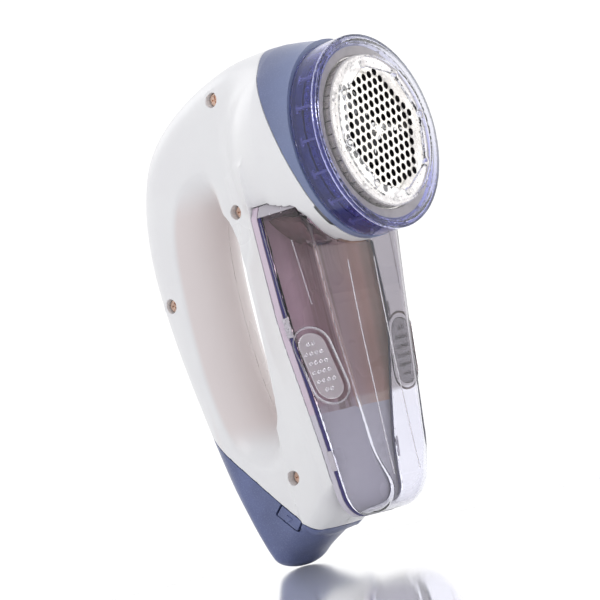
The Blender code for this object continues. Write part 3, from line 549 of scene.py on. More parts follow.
def notch(p, grow):
    """The room in the head's underside for the box's upper edge."""
    rim = np.maximum(box_solid(p, -grow, -GAP), -box_solid(p, 5.0 - grow, BOX_OPEN))
    return np.maximum(rim, NOTCH_Y - grow - p[..., 1])


def body(p, inset=0.0):
    """Everything the housing halves, the collar and the cover fill."""
    x, y, z = np.abs(p[..., 0]), p[..., 1], p[..., 2]
    handle, hole = loop(x, y, z, inset)
    solid = soft_union(handle, shoulder(x, y, z, inset), 3.0)
    solid = np.maximum(solid, hole)
    solid = soft_union(solid, dome(x, y, z, inset), 6.0)
    return np.maximum(solid, -notch(p, 0.35 + inset))


def seam_side(p):
    """Distance above (+) or below (-) the battery cover's seam."""
    along = (SEAM_REAR - SEAM_FRONT) / np.linalg.norm(SEAM_REAR - SEAM_FRONT)
    return (p[..., 1] - SEAM_FRONT[0]) * -along[1] + (p[..., 2] - SEAM_FRONT[1]) * along[0]


def seam_along(p):
    """Distance up the battery cover's seam from its front end."""
    along = (SEAM_REAR - SEAM_FRONT) / np.linalg.norm(SEAM_REAR - SEAM_FRONT)
    return (p[..., 1] - SEAM_FRONT[0]) * along[0] + (p[..., 2] - SEAM_FRONT[1]) * along[1]


def joint_side(p):
    """Distance behind (+) or in front of (-) the collar's bowed joint."""
    rise = np.clip(p[..., 2] - JOINT_Z, -38.0, 38.0)
    return (p[..., 1] - JOINT_Y[0] - JOINT_Y[1] * rise - JOINT_Y[2] * rise ** 2) * 0.93


def box_field(p, low, high):
    """Distance outside a plain box."""
    middle, half = (np.array(low) + high) / 2, (np.array(high) - low) / 2
    return np.max(np.abs(p - middle) - half, axis=-1)


def head_distance(p):
    """Distance from the head's axis."""
    return np.sqrt(p[..., 0] ** 2 + (p[..., 2] - AXIS_Z) ** 2)


def housing(side):
    """The field of one half shell: side is -1 for left and +1 for right."""
    def field(p):
        split = SPLIT - side * p[..., 0]
        shell = np.maximum.reduce((body(p), -body(p, WALL), split))
        for y, z in SEATS:
            reach = np.hypot(p[..., 1] - y, p[..., 2] - z)
            boss = np.maximum.reduce((reach - BOSS_R, np.abs(p[..., 0]) - BOSS_END, split))
            shell = np.minimum(shell, boss)
            if side < 0:
                shell = np.maximum(shell, -np.maximum(reach - SEAT_R, p[..., 0] + SEAT_FLOOR))
        room = np.maximum(head_distance(p) - 31.8, p[..., 1] + 24.0)
        chute = box_field(p, (-11.3, -29.6, 80.0), (11.3, -14.7, 119.0))
        shell = np.maximum.reduce((shell, -room, -chute, -switch_slot(p)))
        return np.maximum.reduce((shell, GAP / 2 - seam_side(p), GAP / 2 - joint_side(p)))
    return field


def switch_frame(p, at):
    """Distances along and out of the leaning switch slot, from a (y, z) point."""
    y, z = p[..., 1] - at[0], p[..., 2] - at[1]
    along = y * cos(SWITCH_LEAN) + z * sin(SWITCH_LEAN)
    return along, -y * sin(SWITCH_LEAN) + z * cos(SWITCH_LEAN)


def switch_slot(p):
    """The room for the slide switch's knob in the top of the housing."""
    along, out = switch_frame(p, SWITCH_AT)
    return np.maximum.reduce((np.abs(p[..., 0]) - 3.1, np.abs(along) - 6.5, np.abs(out) - 6.0))


def knob(p):
    """The slide switch's thumb piece, just below the housing's skin."""
    off = switch_frame(p, THUMB_AT)[0]
    out = switch_frame(p, SWITCH_AT)[1]
    top = 0.4 + 0.35 * np.cos(off * 2 * pi / 1.8) + 0.06 * off ** 2
    return np.maximum.reduce((np.abs(p[..., 0]) - 2.7, np.abs(off) - 3.6, out - top, -2.6 - out))


def latch_window(p, ends, edge):
    """The latch tab's room in the cover, grown at its ends and lower edge."""
    along = np.abs(seam_along(p) - LATCH_AT) - LATCH_HALF - ends
    down = -seam_side(p)
    return np.maximum.reduce((along, down - LATCH_REACH - edge, -1.0 - down, p[..., 0] + LATCH_DEPTH))


def cover(p):
    """The battery cover, with the latch tab's room cut out."""
    shell = np.maximum(body(p), -body(p, WALL))
    return np.maximum.reduce((shell, seam_side(p) + GAP / 2, -latch_window(p, 0.0, 0.0)))


def latch(p):
    """The latch tab, part of the cover's skin, with a raised triangle on it."""
    skin = np.maximum(body(p, 0.1), -body(p, 1.8))
    tab = np.maximum.reduce((skin, latch_window(p, -LATCH_SLOT, -GAP), seam_side(p) + GAP / 2 + 0.15))
    along = np.abs(seam_along(p) - LATCH_AT)
    down = -seam_side(p) - MARK_DOWN
    mark = np.maximum(along * 0.87 + down * 0.5 - MARK_SIZE, -down - MARK_SIZE)
    return np.minimum(tab, np.maximum.reduce((mark, body(p, -0.25), -body(p, 0.5))))


def collar(p):
    """The blue collar between the guard and the bowed joint, with its neck."""
    q = head_distance(p)
    bore = 29.8 + 2.4 * ease(p[..., 1], -35.0, -31.0)
    skin = np.maximum.reduce((body(p), joint_side(p) + GAP / 2, -36.8 - p[..., 1], bore - q))
    neck = np.maximum.reduce((q - 29.5, 28.3 - q, -39.8 - p[..., 1], p[..., 1] + 33.0))
    flange = np.maximum.reduce((q - 31.0, 28.3 - q, -36.8 - p[..., 1], p[..., 1] + 35.0))
    return np.minimum.reduce((skin, neck, flange))


# ---------------- surfaces
def slope(field, p, h=0.04):
    """The unit gradient of a field at some points."""
    g = np.empty_like(p)
    for axis in range(3):
        step = np.zeros(3)
        step[axis] = h
        g[:, axis] = field(p + step) - field(p - step)
    return g / (np.linalg.norm(g, axis=1, keepdims=True) + 1e-12)


def crossings(values, low, pitch):
    """Where a grid's edges cross zero: the cells round each edge, points and facings."""
    inside = values < 0
    count = values.shape
    stride = np.array((count[1] * count[2], count[2], 1))
    cells, points, flips = [], [], []
    for axis in range(3):
        other = [k for k in range(3) if k != axis]
        first = [slice(None)] * 3
        second = [slice(None)] * 3
        first[axis], second[axis] = slice(0, -1), slice(1, None)
        at = np.argwhere(inside[tuple(first)] != inside[tuple(second)])
        keep = np.all([(at[:, k] > 0) & (at[:, k] < count[k] - 1) for k in other], axis=0)
        at = at[keep]
        end = at.copy()
        end[:, axis] += 1
        f0, f1 = values[tuple(at.T)], values[tuple(end.T)]
        p = low + pitch * at
        p[:, axis] += pitch * f0 / (f0 - f1)
        ring = []
        for u, v in ((0, 0), (-1, 0), (-1, -1), (0, -1)):
            cell = at.copy()
            cell[:, other[0]] += u
            cell[:, other[1]] += v
            ring.append(cell @ stride)
        cells.append(np.stack(ring, axis=1))
        points.append(p)
        flips.append((f0 < 0) != (axis == 1))
    return np.concatenate(cells), np.concatenate(points), np.concatenate(flips)


def contour(field, low, high, pitch):
    """Mesh a field's zero surface by dual contouring, which keeps edges sharp."""
    low, high = np.array(low, float), np.array(high, float)
    count = np.ceil((high - low) / pitch).astype(int) + 1
    axes = [low[k] + pitch * np.arange(count[k]) for k in range(3)]
    y, z = np.meshgrid(axes[1], axes[2], indexing="ij")
    values = np.array([field(np.stack((np.full(y.shape, x), y, z), axis=-1)) for x in axes[0]])
    cells, points, flips = crossings(values, low, pitch)
    normals = slope(field, points)
    used, index = np.unique(cells, return_inverse=True)
    index = index.reshape(cells.shape)
    total = len(used)

    def gather(weights):
        return sum(np.bincount(index[:, k], weights=weights, minlength=total) for k in range(4))

    share = gather(np.ones(len(points)))
    middle = np.stack([gather(points[:, k]) for k in range(3)], axis=1) / share[:, None]
    offset = np.einsum("ij,ij->i", normals, points)
    matrix = np.empty((total, 3, 3))
    for r in range(3):
        for c in range(3):
            matrix[:, r, c] = gather(normals[:, r] * normals[:, c])
    right = np.stack([gather(normals[:, k] * offset) for k in range(3)], axis=1)
    right -= np.einsum("nij,nj->ni", matrix, middle)
    matrix += np.eye(3) * 0.08
    place = middle + np.linalg.solve(matrix, right[..., None])[..., 0]
    corner = low + pitch * np.stack(np.unravel_index(used, tuple(count)), axis=1)
    place = np.clip(place, corner - 0.1 * pitch, corner + 1.1 * pitch)
    return place, np.where(flips[:, None], index, index[:, ::-1])


def shell_piece(name, field, low, high, mat, pitch, smooth):
    """A mesh object of a field's surface inside a box."""
    verts, quads = contour(field, low, high, pitch)
    return mesh_object(name, verts, quads, mat, smooth)


def build_shells(white, blue):
    """The outer skin: two halves, collar, battery cover, latch tab and switch."""
    low, high, fine = (-34.3, -1.3), (54.0, 172.0), 0.8 * PITCH
    parts = (
        ("housing_left_shell", housing(-1), (-37.6, *low), (1.3, *high), white, PITCH,
         "housing", "housing_left"),
        ("housing_right_shell", housing(1), (-1.3, *low), (37.6, *high), white, PITCH,
         "housing", "housing_right"),
        ("head_collar_skin", collar, (-37.3, -41.1, 94.0), (37.3, -12.0, 172.0), blue, fine,
         "housing", "head_collar"),
        ("battery_cover_shell", cover, (-18.7, 2.0, -2.3), (18.7, 47.0, 56.0), blue, PITCH,
         "battery_cover", "battery_cover"),
        ("cover_latch_tab", latch, (-18.6, 6.0, 6.0), (-9.5, 25.0, 26.0), blue, TAB_PITCH,
         "cover_latch", "cover_latch"),
        ("switch_thumb", knob, (-3.6, 18.0, 156.0), (3.6, 30.0, 165.6), blue, THUMB_PITCH,
         "switch", "switch_knob"),
    )
    for name, field, low, high, mat, pitch, moves, node in parts:
        slot_name = "white_shell" if mat is white else "blue_trim"
        dress(shell_piece(name, field, low, high, mat, pitch, 32.0), moves, slot_name, node)


# ---------------- head
def octagon(p, apothem):
    """Distance outside an eight-sided opening round the head's axis."""
    turn = CROWN_TURN + pi / 8
    far = []
    for k in range(4):
        angle = turn + k * pi / 4
        far.append(np.abs(p[..., 0] * cos(angle) + (p[..., 2] - AXIS_Z) * sin(angle)))
    return np.maximum.reduce(far) - apothem


def ribs(p, count, half_width):
    """Distance to evenly spaced radial planes, less their half width."""
    turn = np.arctan2(p[..., 2] - AXIS_Z, p[..., 0]) * count / (2 * pi)
    return np.abs(turn - np.round(turn)) * (2 * pi / count) * head_distance(p) - half_width


def guard(p):
    """The clear height guard: ribbed skirt, sloping web and knobbly crown."""
    q = head_distance(p)
    back = p[..., 1] - FACE_Y
    skirt = np.maximum(np.abs(q - 32.45) - 0.62, np.abs(back - 5.75) - 4.95)
    skirt = np.minimum(skirt, np.hypot(np.maximum(np.abs(q - 31.9) - 0.2, 0), back - 1.5) - 1.0)
    slope_run = np.array((24.6 - 32.4, -2.55 - 0.55))
    slope_run /= np.linalg.norm(slope_run)
    off = (q - 32.4) * slope_run[1] - (back - 0.55) * slope_run[0]
    web = np.maximum.reduce((np.abs(off) - 0.5, 24.3 - q, q - 32.8))
    flat = np.maximum(np.abs(back + 2.5) - 0.5, q - 24.6)
    web = np.maximum(np.minimum(web, flat), -octagon(p, 20.2))
    inner = np.maximum(np.abs(q - 30.35) - 0.4, np.abs(back - 3.2) - 1.6)
    teeth = np.maximum.reduce((ribs(p, 72, 0.45), np.abs(q - 30.45) - 0.5, np.abs(back - 5.4) - 0.7))
    solid = np.minimum.reduce((skirt, web, inner, teeth))
    for k in range(8):
        angle = CROWN_TURN + k * pi / 4
        at = np.array((CROWN_R * cos(angle), FACE_Y - 2.5, AXIS_Z + CROWN_R * sin(angle)))
        solid = soft_union(solid, np.linalg.norm(p - at, axis=-1) - 1.25, 0.5)
    return solid


def guard_bars(p):
    """The brighter T-shaped ribs moulded inside the guard's skirt."""
    q = head_distance(p)
    back = p[..., 1] - FACE_Y
    band = np.abs(q - 31.25) - 0.45
    stem = np.maximum.reduce((ribs(p, RIB_COUNT, 0.42), band, np.abs(back - 6.0) - 2.6))
    cross = np.maximum.reduce((ribs(p, RIB_COUNT, 1.5), band, np.abs(back - 8.6) - 0.45))
    return np.minimum(stem, cross)


def lathe(name, profile, steps, mat, smooth=35.0):
    """A ring or disc turned about the head's axis from (radius, y) points."""
    turn = np.arange(steps) * 2 * pi / steps
    rings = []
    for r, y in profile:
        rings.append(np.stack((r * np.cos(turn), np.full(steps, y), AXIS_Z + r * np.sin(turn)), axis=1))
    faces = band_faces(0, len(profile), steps, True)
    return mesh_object(name, np.concatenate(rings), faces, mat, smooth)


def circle_spline(curve, x, z, radius, sides):
    """Add a closed many-sided ring to a flat curve."""
    line = curve.splines.new("POLY")
    line.points.add(sides - 1)
    for k, point in enumerate(line.points):
        angle = 2 * pi * k / sides
        point.co = ((x + radius * cos(angle)) * MM, (z + radius * sin(angle)) * MM, 0.0, 1.0)
    line.use_cyclic_u = True


def foil_disc(mat):
    """The foil's flat face: large staggered holes with small ones round them."""
    curve = bpy.data.curves.new("foil_face", "CURVE")
    curve.dimensions = "2D"
    curve.fill_mode = "BOTH"
    curve.extrude = 0.09 * MM
    circle_spline(curve, 0, 0, 25.0, 96)
    for row in range(-8, 9):
        for col in range(-8, 9):
            u = (col + 0.5 * (row % 2)) * HOLE_PITCH
            v = row * HOLE_PITCH * sqrt(3) / 2
            x = u * cos(HOLE_TURN) - v * sin(HOLE_TURN)
            z = u * sin(HOLE_TURN) + v * cos(HOLE_TURN)
            if 2.8 < sqrt(x * x + z * z) < 20.6:
                circle_spline(curve, x, z, HOLE_R, 18)
    for ring_r, count, radius in ((1.9, 8, 0.30), (23.2, 36, 0.28)):
        for k in range(count):
            angle = 2 * pi * (k + 0.5) / count
            circle_spline(curve, ring_r * cos(angle), ring_r * sin(angle), radius, 8)
    obj = bpy.data.objects.new("foil_face", curve)
    bpy.context.scene.collection.objects.link(obj)
    bpy.context.view_layer.update()
    graph = bpy.context.evaluated_depsgraph_get()
    mesh = bpy.data.meshes.new_from_object(obj.evaluated_get(graph))
    bpy.data.objects.remove(obj)
    place = Matrix.Translation((0, (FACE_Y + 0.1) * MM, AXIS_Z * MM))
    mesh.transform(place @ Matrix.Rotation(pi / 2, 4, "X"))
    mesh.name = "foil_face"
    mesh.materials.clear()
    mesh.materials.append(mat)
    face = bpy.data.objects.new("foil_face", mesh)
    bpy.context.scene.collection.objects.link(face)
    return face


def foil_wall(mat):
    """The foil's side: a row of long windows' bars between two plain bands."""
    back = FACE_Y + FOIL_DEPTH
    inner = FOIL_R - 0.2
    edge = [(25.0, FACE_Y), (25.35, FACE_Y + 0.12), (FOIL_R, FACE_Y + 0.4), (FOIL_R, FACE_Y + 0.9)]
    rim = lathe("foil_rim", edge + [(r - 0.2, y + 0.15) for r, y in edge[::-1]], 144, mat)
    lower = [(FOIL_R, back - 0.5), (FOIL_R, back + 0.3), (FOIL_RIM_R, back + 0.3), (FOIL_RIM_R, back + 0.5),
             (inner, back + 0.5), (inner, back - 0.5)]
    lip = lathe("foil_lip", lower, 144, mat)
    verts, faces = [], []
    count = 36
    corners = ((FOIL_R, FACE_Y + 0.9), (FOIL_R, back - 0.5), (inner, back - 0.5), (inner, FACE_Y + 0.9))
    for k in range(count):
        base = len(verts)
        start = 2 * pi * k / count
        sweep = 2 * pi / count * 0.9
        for step in range(5):
            angle = start + sweep * step / 4
            for r, y in corners:
                verts.append((r * cos(angle), y, AXIS_Z + r * sin(angle)))
        faces.append((base + 3, base + 2, base + 1, base))
        faces.append((base + 16, base + 17, base + 18, base + 19))
        faces += band_faces(base, 5, 4)
    bricks = mesh_object("foil_side_bars", verts, faces, mat)
    return rim, lip, bricks


def build_head(steel, grey, guard_mat, bar_mat):
    """The height guard, its ribs, the foil and the foil's grey ring."""
    high = (34.0, -36.4, 166.5)
    skirt = shell_piece("guard_shell", guard, (-34.0, -52.6, 98.5), high, guard_mat, RING_PITCH, 30.0)
    dress(skirt, "guard", "clear_guard", "height_guard")
    bars = shell_piece("guard_ribs", guard_bars, (-34.0, -46.6, 98.5), high, bar_mat, RING_PITCH, 30.0)
    dress(bars, "guard", "clear_guard")
    dress(foil_disc(steel), "foil", "foil_steel", "foil")
    for piece in foil_wall(steel):
        dress(piece, "foil", "foil_steel", "foil")
    back = FACE_Y + FOIL_DEPTH
    profile = [(26.0, back - 0.4), (26.3, back - 0.8), (29.2, FACE_Y + 2.3), (29.6, FACE_Y + 2.7),
               (29.6, FACE_Y + 7.4), (28.1, FACE_Y + 7.4), (28.1, back), (26.0, back - 0.1)]
    dress(lathe("foil_ring_face", profile, 128, grey), "foil", "ring_grey", "foil_ring")


# ---------------- lint box
def head_room(p):
    """Distance from the head, its collar and its guard."""
    front = np.maximum(head_distance(p) - 34.0, p[..., 1] + 30.0)
    return np.minimum(body(p), front) - 0.3


def box_wall(p, inset, rear_shift):
    """The box's outer form less its hollow, which is open to the rear."""
    return np.maximum(box_solid(p, inset, rear_shift), -box_solid(p, BOX_WALL, BOX_OPEN))


def lint_box(p):
    """The clear shell: one wall thick, open at its rear."""
    return np.maximum.reduce((box_wall(p, 0.0, 3.5), -head_room(p), p[..., 2] - CAP_Z))


def box_cap(p):
    """The bevelled upper edge, moulded in a milky plastic."""
    return np.maximum.reduce((box_wall(p, 0.0, 2.3), -head_room(p), CAP_Z + 0.1 - p[..., 2]))


def box_plate(p):
    """The tinted plate that closes the box's rear, dark with painted shade."""
    slab = np.maximum(box_solid(p, 0.0, 0.0), box_rear(p) + 0.3)
    return np.maximum(slab, 0.2 - body(p))


def rim_gap_shade(p):
    """The shell's dark rear edge: a strip of painted shade for the gap between the shell and the rear
    plate.
    """
    rim = np.maximum.reduce((box_wall(p, -0.15, 2.3), box_rear(p) - 1.1, p[..., 2] - CAP_Z))
    return np.maximum(rim, -head_room(p))


def box_hooks(p):
    """The two small catches on each side of the rear edge."""
    band = np.maximum.reduce((box_solid(p, -0.75, 2.0), -box_solid(p, -0.2, BOX_OPEN), box_rear(p) - 1.6))
    upper, lower = (np.abs(p[..., 2] - z) - HOOK_HALF for z in HOOK_Z)
    return np.maximum(band, np.minimum(upper, lower))


def box_rear(p):
    """Distance in front of the box's rear rim."""
    return box_row(p[..., 2], 2) - 2.3 - p[..., 1]


def side_frame(z, y, side):
    """A frame on the box's side wall: across, up and out, and its place."""
    def point(height, depth):
        share = (depth - box_row(height, 1)) / (box_row(height, 2) - box_row(height, 1))
        width = box_row(height, 3) + share * (box_row(height, 4) - box_row(height, 3))
        return Vector((side * width, depth, height))

    across = (point(z, y + 1) - point(z, y - 1)).normalized()
    up = (point(z + 4, y) - point(z - 4, y)).normalized()
    out = across.cross(up).normalized()
    if out.x * side < 0:
        out = -out
    up = (up - up.project(across)).normalized()
    turn = Matrix((across, up, out)).transposed().to_4x4()
    turn.translation = point(z, y)
    return turn


def stadium(half_w, half_l, steps, lean=0.0):
    """A long oval outline, sheared sideways by lean."""
    line = []
    for end in (1, -1):
        for k in range(steps + 1):
            angle = pi * k / steps + (0 if end > 0 else pi)
            v = end * (half_l - half_w) + half_w * sin(angle)
            line.append((half_w * cos(angle) + lean * v, v))
    return line


def loft_rings(rings):
    """Vertices and faces of stacked outlines: (points, height) pairs."""
    count = len(rings[0][0])
    verts = [(x, y, h) for line, h in rings for x, y in line]
    faces = [tuple(range(count))[::-1], tuple(range(len(verts) - count, len(verts)))]
    return verts, faces + band_faces(0, len(rings), count)


def grip_dots(frame_at):
    """Vertices and faces of the small domes on a finger pad."""
    verts, faces = [], []
    sides = 8
    for row in range(6):
        for col in range(4):
            if row in (0, 5) and col in (0, 3):
                continue
            u = -2.7 + 1.8 * col + 0.25 * (row % 2)
            v = 8.0 - 3.2 * row
            base = len(verts)
            for radius, height in ((0.72, 1.08), (0.62, 1.45), (0.25, 1.62)):
                for k in range(sides):
                    angle = 2 * pi * k / sides
                    at = (u + GRIP_LEAN * v + radius * cos(angle), v + radius * sin(angle), height)
                    verts.append(frame_at @ Vector(at))
            faces.append(tuple(range(base, base + sides))[::-1])
            faces.append(tuple(range(base + 2 * sides, base + 3 * sides)))
            faces += band_faces(base, 3, sides)
    return verts, faces


def grip_ridge(frame_at):
    """Vertices and faces of the raised line round a finger pad."""
    verts = []
    section = ((-0.38, 0.05), (0.38, 0.05), (0.22, 0.70), (-0.22, 0.70))
    outline = np.array(stadium(6.3, 13.4, 16, GRIP_LEAN))
    tangent = np.roll(outline, -1, axis=0) - np.roll(outline, 1, axis=0)
    tangent /= np.linalg.norm(tangent, axis=1, keepdims=True)
    for (u, v), (tu, tv) in zip(outline, tangent):
        for offset, height in section:
            verts.append(frame_at @ Vector((u + tv * offset, v - tu * offset, height)))
    return verts, band_faces(0, len(outline), 4, True)


def add_grip(side, pad_mat, line_mat):
    """A finger pad with rows of small domes inside a raised outline."""
    name = "left" if side < 0 else "right"
    frame_at = side_frame(*GRIP_AT, side)
    outer, inner = stadium(4.6, 11.6, 12, GRIP_LEAN), stadium(4.2, 11.2, 12, GRIP_LEAN)
    pad = loft_rings([(outer, 0.06), (outer, 0.8), (inner, 1.1)])
    place = np.array([frame_at @ Vector(v) for v in pad[0]])
    dress(mesh_object("grip_pad_" + name, place, pad[1], pad_mat, 35.0), "lint_box", "clear_box")
    for kind, maker in (("dots", grip_dots), ("ridge", grip_ridge)):
        verts, faces = maker(frame_at)
        obj = mesh_object("grip_" + kind + "_" + name, np.array(verts), faces, line_mat, 35.0)
        dress(obj, "lint_box", "clear_box")


def ridge_ring(kind, side, at, z):
    """The four corners of a fine ridge on the box's front or side, at one height."""
    section = ((-0.22, 0.02), (0.22, 0.02), (0.12, 0.25), (-0.12, 0.25))
    if kind == "front":
        y = box_row(z, 1)
        return [(side * (at + across), y - out, z) for across, out in section]
    turn = side_frame(z, at, side)
    return [tuple(turn @ Vector((across, 0, out))) for across, out in section]


def add_lines(mat):
    """Fine moulded ridges down the box's front and sides."""
    verts, faces = [], []
    steps = 10
    lines = (("front", 7.5, 22.0, 94.0), ("side", -13.6, 78.0, 112.0), ("side", -22.5, 82.0, 104.0))
    for side in (-1, 1):
        for kind, at, low, high in lines:
            base = len(verts)
            for k in range(steps + 1):
                verts.extend(ridge_ring(kind, side, at, low + (high - low) * k / steps))
            faces += band_faces(base, steps + 1, 4)
            faces.append((base + 3, base + 2, base + 1, base))
            end = base + 4 * steps
            faces.append((end, end + 1, end + 2, end + 3))
    obj = mesh_object("box_ridges", np.array(verts), faces, mat, 30.0)
    fix = bmesh.new()
    fix.from_mesh(obj.data)
    bmesh.ops.recalc_face_normals(fix, faces=fix.faces)
    fix.to_mesh(obj.data)
    fix.free()
    dress(obj, "lint_box", "clear_box")


def build_box(glass, pad_mat, line_mat, dark, cap_mat, plate_mat, far_mat):
    """The lint box: shell, dark rear edge of painted gap shade, cap, hooks, rear plate, pads and ridges."""
    fine = BOX_PITCH * 0.8
    front, plate = -31.2, -15.2
    parts = (
        ("shell", lint_box, (front, 9.9), (-7.4, 118.8), BOX_PITCH, glass, ["lint_box"]),
        ("rim", rim_gap_shade, (front, 9.9), (-5.0, 118.8), fine, dark, []),
        ("cap", box_cap, (front, 112.0), (-7.4, 118.8), fine, cap_mat, []),
        ("hooks", box_hooks, (plate, 25.0), (-5.0, 82.0), fine, cap_mat, []),
        ("plate", box_plate, (plate, 9.9), (-4.0, 118.8), BOX_PITCH, plate_mat, ["lint_box_back"]),
    )
    for name, field, low, high, pitch, mat, nodes in parts:
        piece = shell_piece("lint_box_" + name, field, (-32.2, *low), (32.2, *high), mat, pitch, 28.0)
        dress(piece, "lint_box", "clear_box", *nodes)
    for side in (-1, 1):
        add_grip(side, pad_mat if side < 0 else far_mat, line_mat)
    add_lines(line_mat)


def chute(p):
    """The duct behind the chamber, open below and towards the chamber."""
    low, high = np.array(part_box("lint_chute")[0]) / MM, np.array(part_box("lint_chute")[1]) / MM
    low[2] += CHUTE_TRIM
    duct = box_field(p, low, high)
    bore = box_field(p, low + (1.2, 1.2, -9.0), high - 1.2)
    mouth_low = (low[0] + 1.2, low[1] - 3.0, low[2] + 6.0)
    mouth = box_field(p, mouth_low, (high[0] - 1.2, low[1] + 3.0, high[2] - 1.2))
    return np.maximum.reduce((duct, -bore, -mouth))


def build_chute(mat):
    """The duct from the cutter chamber down into the lint box."""
    low, high = (-12.5, -31.0, 101.0), (12.5, -13.5, 120.0)
    duct = shell_piece("chute_duct", chute, low, high, mat, CHUTE_PITCH, 30.0)
    dress(duct, "housing", "inner_white", "lint_chute")


# ---------------- carried over
def dress_nodes(looks):
    """Give every CAD node that still shows a finished material."""
    for name, obj in NODES.items():
        for key, mat in looks:
            if name.startswith(key):
                for slot in obj.material_slots:
                    slot.material = mat
                break


def node_looks():
    """What the other CAD nodes wear, by the start of their names; the first match counts."""
    cutting = metal("blade_metal", (0.62, 0.62, 0.63), 0.2)
    zinc = metal("screw_metal", (0.90, 0.68, 0.56), 0.55)
    return (
        ("housing_screw", zinc),
        ("motor_can", metal("can_metal", (0.55, 0.56, 0.58), 0.32, (1.0, 8.0, 1.0))),
        ("motor_shaft", cutting),
        ("motor_end", plastic("black_plastic", (0.03, 0.03, 0.035), 0.42, 0.7)),
        ("motor_terminal", metal("brass_metal", (0.70, 0.55, 0.25), 0.28)),
        ("motor_bracket", plastic("inner_plastic", (0.62, 0.62, 0.63), 0.5, 0.9)),
        ("blade_spring", metal("spring_metal", (0.66, 0.65, 0.63), 0.25)),
        ("blade_carrier", plastic("carrier_plastic", (0.05, 0.05, 0.055), 0.45, 0.7)),
        ("blade_cap", metal("cap_metal", (0.60, 0.60, 0.61), 0.30)),
        ("blade_", cutting),
        ("fan", plastic("fan_plastic", (0.04, 0.04, 0.045), 0.45, 0.7)),
        ("cutter_chamber", plastic("chamber_plastic", (0.10, 0.095, 0.10), 0.5, 0.8)),
        ("shaft_bush", metal("bush_metal", (0.66, 0.50, 0.24), 0.3)),
        ("battery_cell", plastic("cell_sleeve", (0.05, 0.22, 0.14), 0.32, 0.8, 300.0)),
        ("battery_spring", metal("coil_metal", (0.66, 0.65, 0.63), 0.25)),
        ("contact", metal("contact_metal", (0.72, 0.60, 0.34), 0.28)),
        ("cover_contact", metal("strip_metal", (0.72, 0.60, 0.34), 0.28)),
        ("switch_body", plastic("switch_plastic", (0.03, 0.03, 0.035), 0.45, 0.7)),
        ("wire_motor", plastic("black_sleeve", (0.02, 0.02, 0.02), 0.5, 0.6)),
        ("wire_", plastic("red_sleeve", (0.50, 0.03, 0.03), 0.5, 0.7)),
    )


# ---------------- stage
def light(name, place, aim, size, power):
    """A round area light turned towards a point."""
    data = bpy.data.lights.new(name, "AREA")
    data.shape = "DISK"
    data.size = size
    data.energy = power
    obj = bpy.data.objects.new(name, data)
    bpy.context.scene.collection.objects.link(obj)
    obj.location = place
    obj.rotation_euler = (Vector(aim) - Vector(place)).to_track_quat("-Z", "Y").to_euler()


def build_world():
    """A bright even sky with two softly darker zones for the plastics to mirror."""
    world = bpy.data.worlds.new("studio")
    world.use_nodes = True
    tree = world.node_tree
    back = tree.nodes["Background"]
    back.inputs["Strength"].default_value = 1.09
    place = tree.nodes.new("ShaderNodeTexCoord").outputs["Generated"]
    zones = (((-0.80, -0.58, 0.12), 0.70, 0.98, (0.55, 0.55, 0.60)),
             ((0.0, 0.0, 1.0), 0.45, 1.0, (0.72, 0.73, 0.78)))
    for turn, (way, low, high, tint) in enumerate(zones):
        dot = tree.nodes.new("ShaderNodeVectorMath")
        dot.operation = "DOT_PRODUCT"
        dot.inputs[1].default_value = way
        tree.links.new(place, dot.inputs[0])
        ramp = tree.nodes.new("ShaderNodeMapRange")
        ramp.interpolation_type = "SMOOTHSTEP"
        ramp.inputs["From Min"].default_value = low
        ramp.inputs["From Max"].default_value = high
        tree.links.new(dot.outputs["Value"], ramp.inputs["Value"])
        mix = tree.nodes.new("ShaderNodeMix")
        mix.data_type = "RGBA"
        mix.inputs[6].default_value = (1.0, 1.0, 1.0, 1.0)
        mix.inputs[7].default_value = (*tint, 1.0)
        tree.links.new(ramp.outputs["Result"], mix.inputs[0])
        if turn:
            tree.links.new(shade, mix.inputs[6])
        shade = mix.outputs[2]
    tree.links.new(shade, back.inputs["Color"])
    bpy.context.scene.world = world
    bpy.context.scene.view_settings.view_transform = "Standard"


def build_stage():
    """The pale floor, polished near the object, and three soft lights."""
    paper = Look("studio_floor", (1.0, 1.0, 1.0), 0.10)
    paper.rough(paper.ramp(paper.axis("X"), 0.15, 0.75, 0.04, 0.60))
    paper.set("Specular IOR Level", 0.4)
    paper.blend(paper.ramp(paper.noise(6.0), 0.3, 0.7, 0.0, 1.0), (1.0, 1.0, 1.0), (0.985, 0.985, 0.985))
    reach = 4000
    corners = ((-reach, -reach, 0), (reach, -reach, 0), (reach, reach, 0), (-reach, reach, 0))
    floor = mesh_object("floor", corners, [(0, 1, 2, 3)], paper.mat, None)
    floor.location = (0.0, OUTLINE[0][0] * MM, -0.0001)
    floor.rotation_euler = (0.0, 0.0, CAMERA_TURN)
    middle = (0.0, 0.0, 0.09)
    light("key", (-0.75, -0.35, 0.65), middle, 0.35, 1.0)
    light("fill", (0.65, -0.75, 0.25), middle, 0.5, 0.7)
    light("back", (0.1, 0.8, 0.7), middle, 0.6, 0.8)


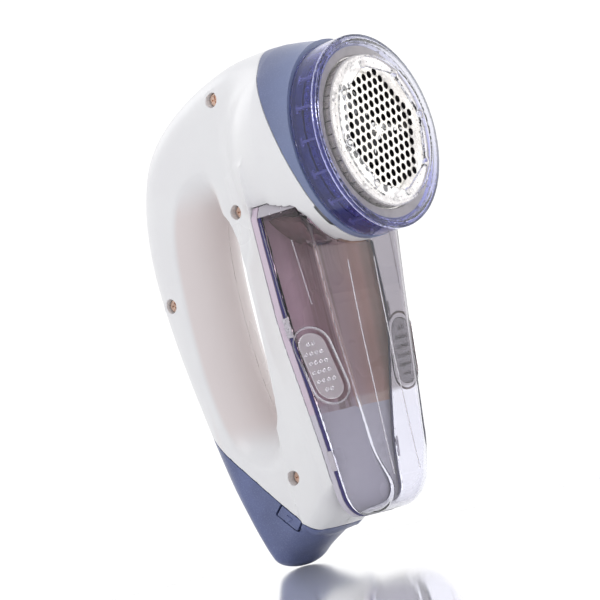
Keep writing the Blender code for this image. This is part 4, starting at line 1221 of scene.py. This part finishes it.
def build_camera():
    """A long lens just above the floor, looking slightly up and rolled to one side."""
    azimuth, rise = CAMERA_TURN, CAMERA_RISE
    across = Vector((cos(azimuth), sin(azimuth), 0.0))
    up = Vector((-sin(azimuth) * sin(rise), cos(azimuth) * sin(rise), cos(rise)))
    back = across.cross(up)
    right = across * cos(CAMERA_ROLL) - up * sin(CAMERA_ROLL)
    upward = across * sin(CAMERA_ROLL) + up * cos(CAMERA_ROLL)
    data = bpy.data.cameras.new("camera")
    data.sensor_width = 36.0
    data.lens = CAMERA_LENS
    data.clip_end = 20.0
    obj = bpy.data.objects.new("camera", data)
    bpy.context.scene.collection.objects.link(obj)
    aim = Vector((0.0, 0.0, CAMERA_AIM_Z)) + right * CAMERA_SHIFT[0] + upward * CAMERA_SHIFT[1]
    turn = Matrix((right, upward, back)).transposed().to_4x4()
    turn.translation = aim + back * CAMERA_DISTANCE
    obj.matrix_world = turn
    bpy.context.scene.camera = obj


# ---------------- assembly
def main():
    """Every visible piece, then the studio and the camera."""
    white, blue = make_white(), make_blue()
    build_shells(white, blue)
    steel = metal("foil_metal", (0.80, 0.77, 0.72), 0.26)
    build_head(steel, ring_look(), guard_look(), clear("guard_rib_plastic", (0.80, 0.80, 0.97), 0.18, 0.55))
    glass = box_look()
    # Painted shade: deep navy for the shadowed gap along the box shell's rear edge.
    rim = clear("box_rim_gap_shade", (0.055, 0.045, 0.19), 0.10, 0.25)
    pad = clear("frosted_pad", (0.62, 0.56, 0.60), 0.35, 0.45)
    line = clear("frosted_line", (0.90, 0.88, 0.93), 0.12, 0.75)
    cap = clear("box_cap_plastic", (0.80, 0.76, 0.82), 0.22, 0.45)
    # Painted light: the far pad is a clearer, slightly paler copy of the pad plastic, so that it reads
    # lighter through the box than the near pad.
    far_pad = clear("far_pad_plastic", (0.62, 0.62, 0.65), 0.12, 0.9)
    build_box(glass, pad, line, rim, cap, back_plate_look(), far_pad)
    build_chute(plastic("chute_plastic", (0.62, 0.60, 0.60), 0.5, 0.9))
    dress_nodes(node_looks())
    build_world()
    build_stage()
    build_camera()


main()
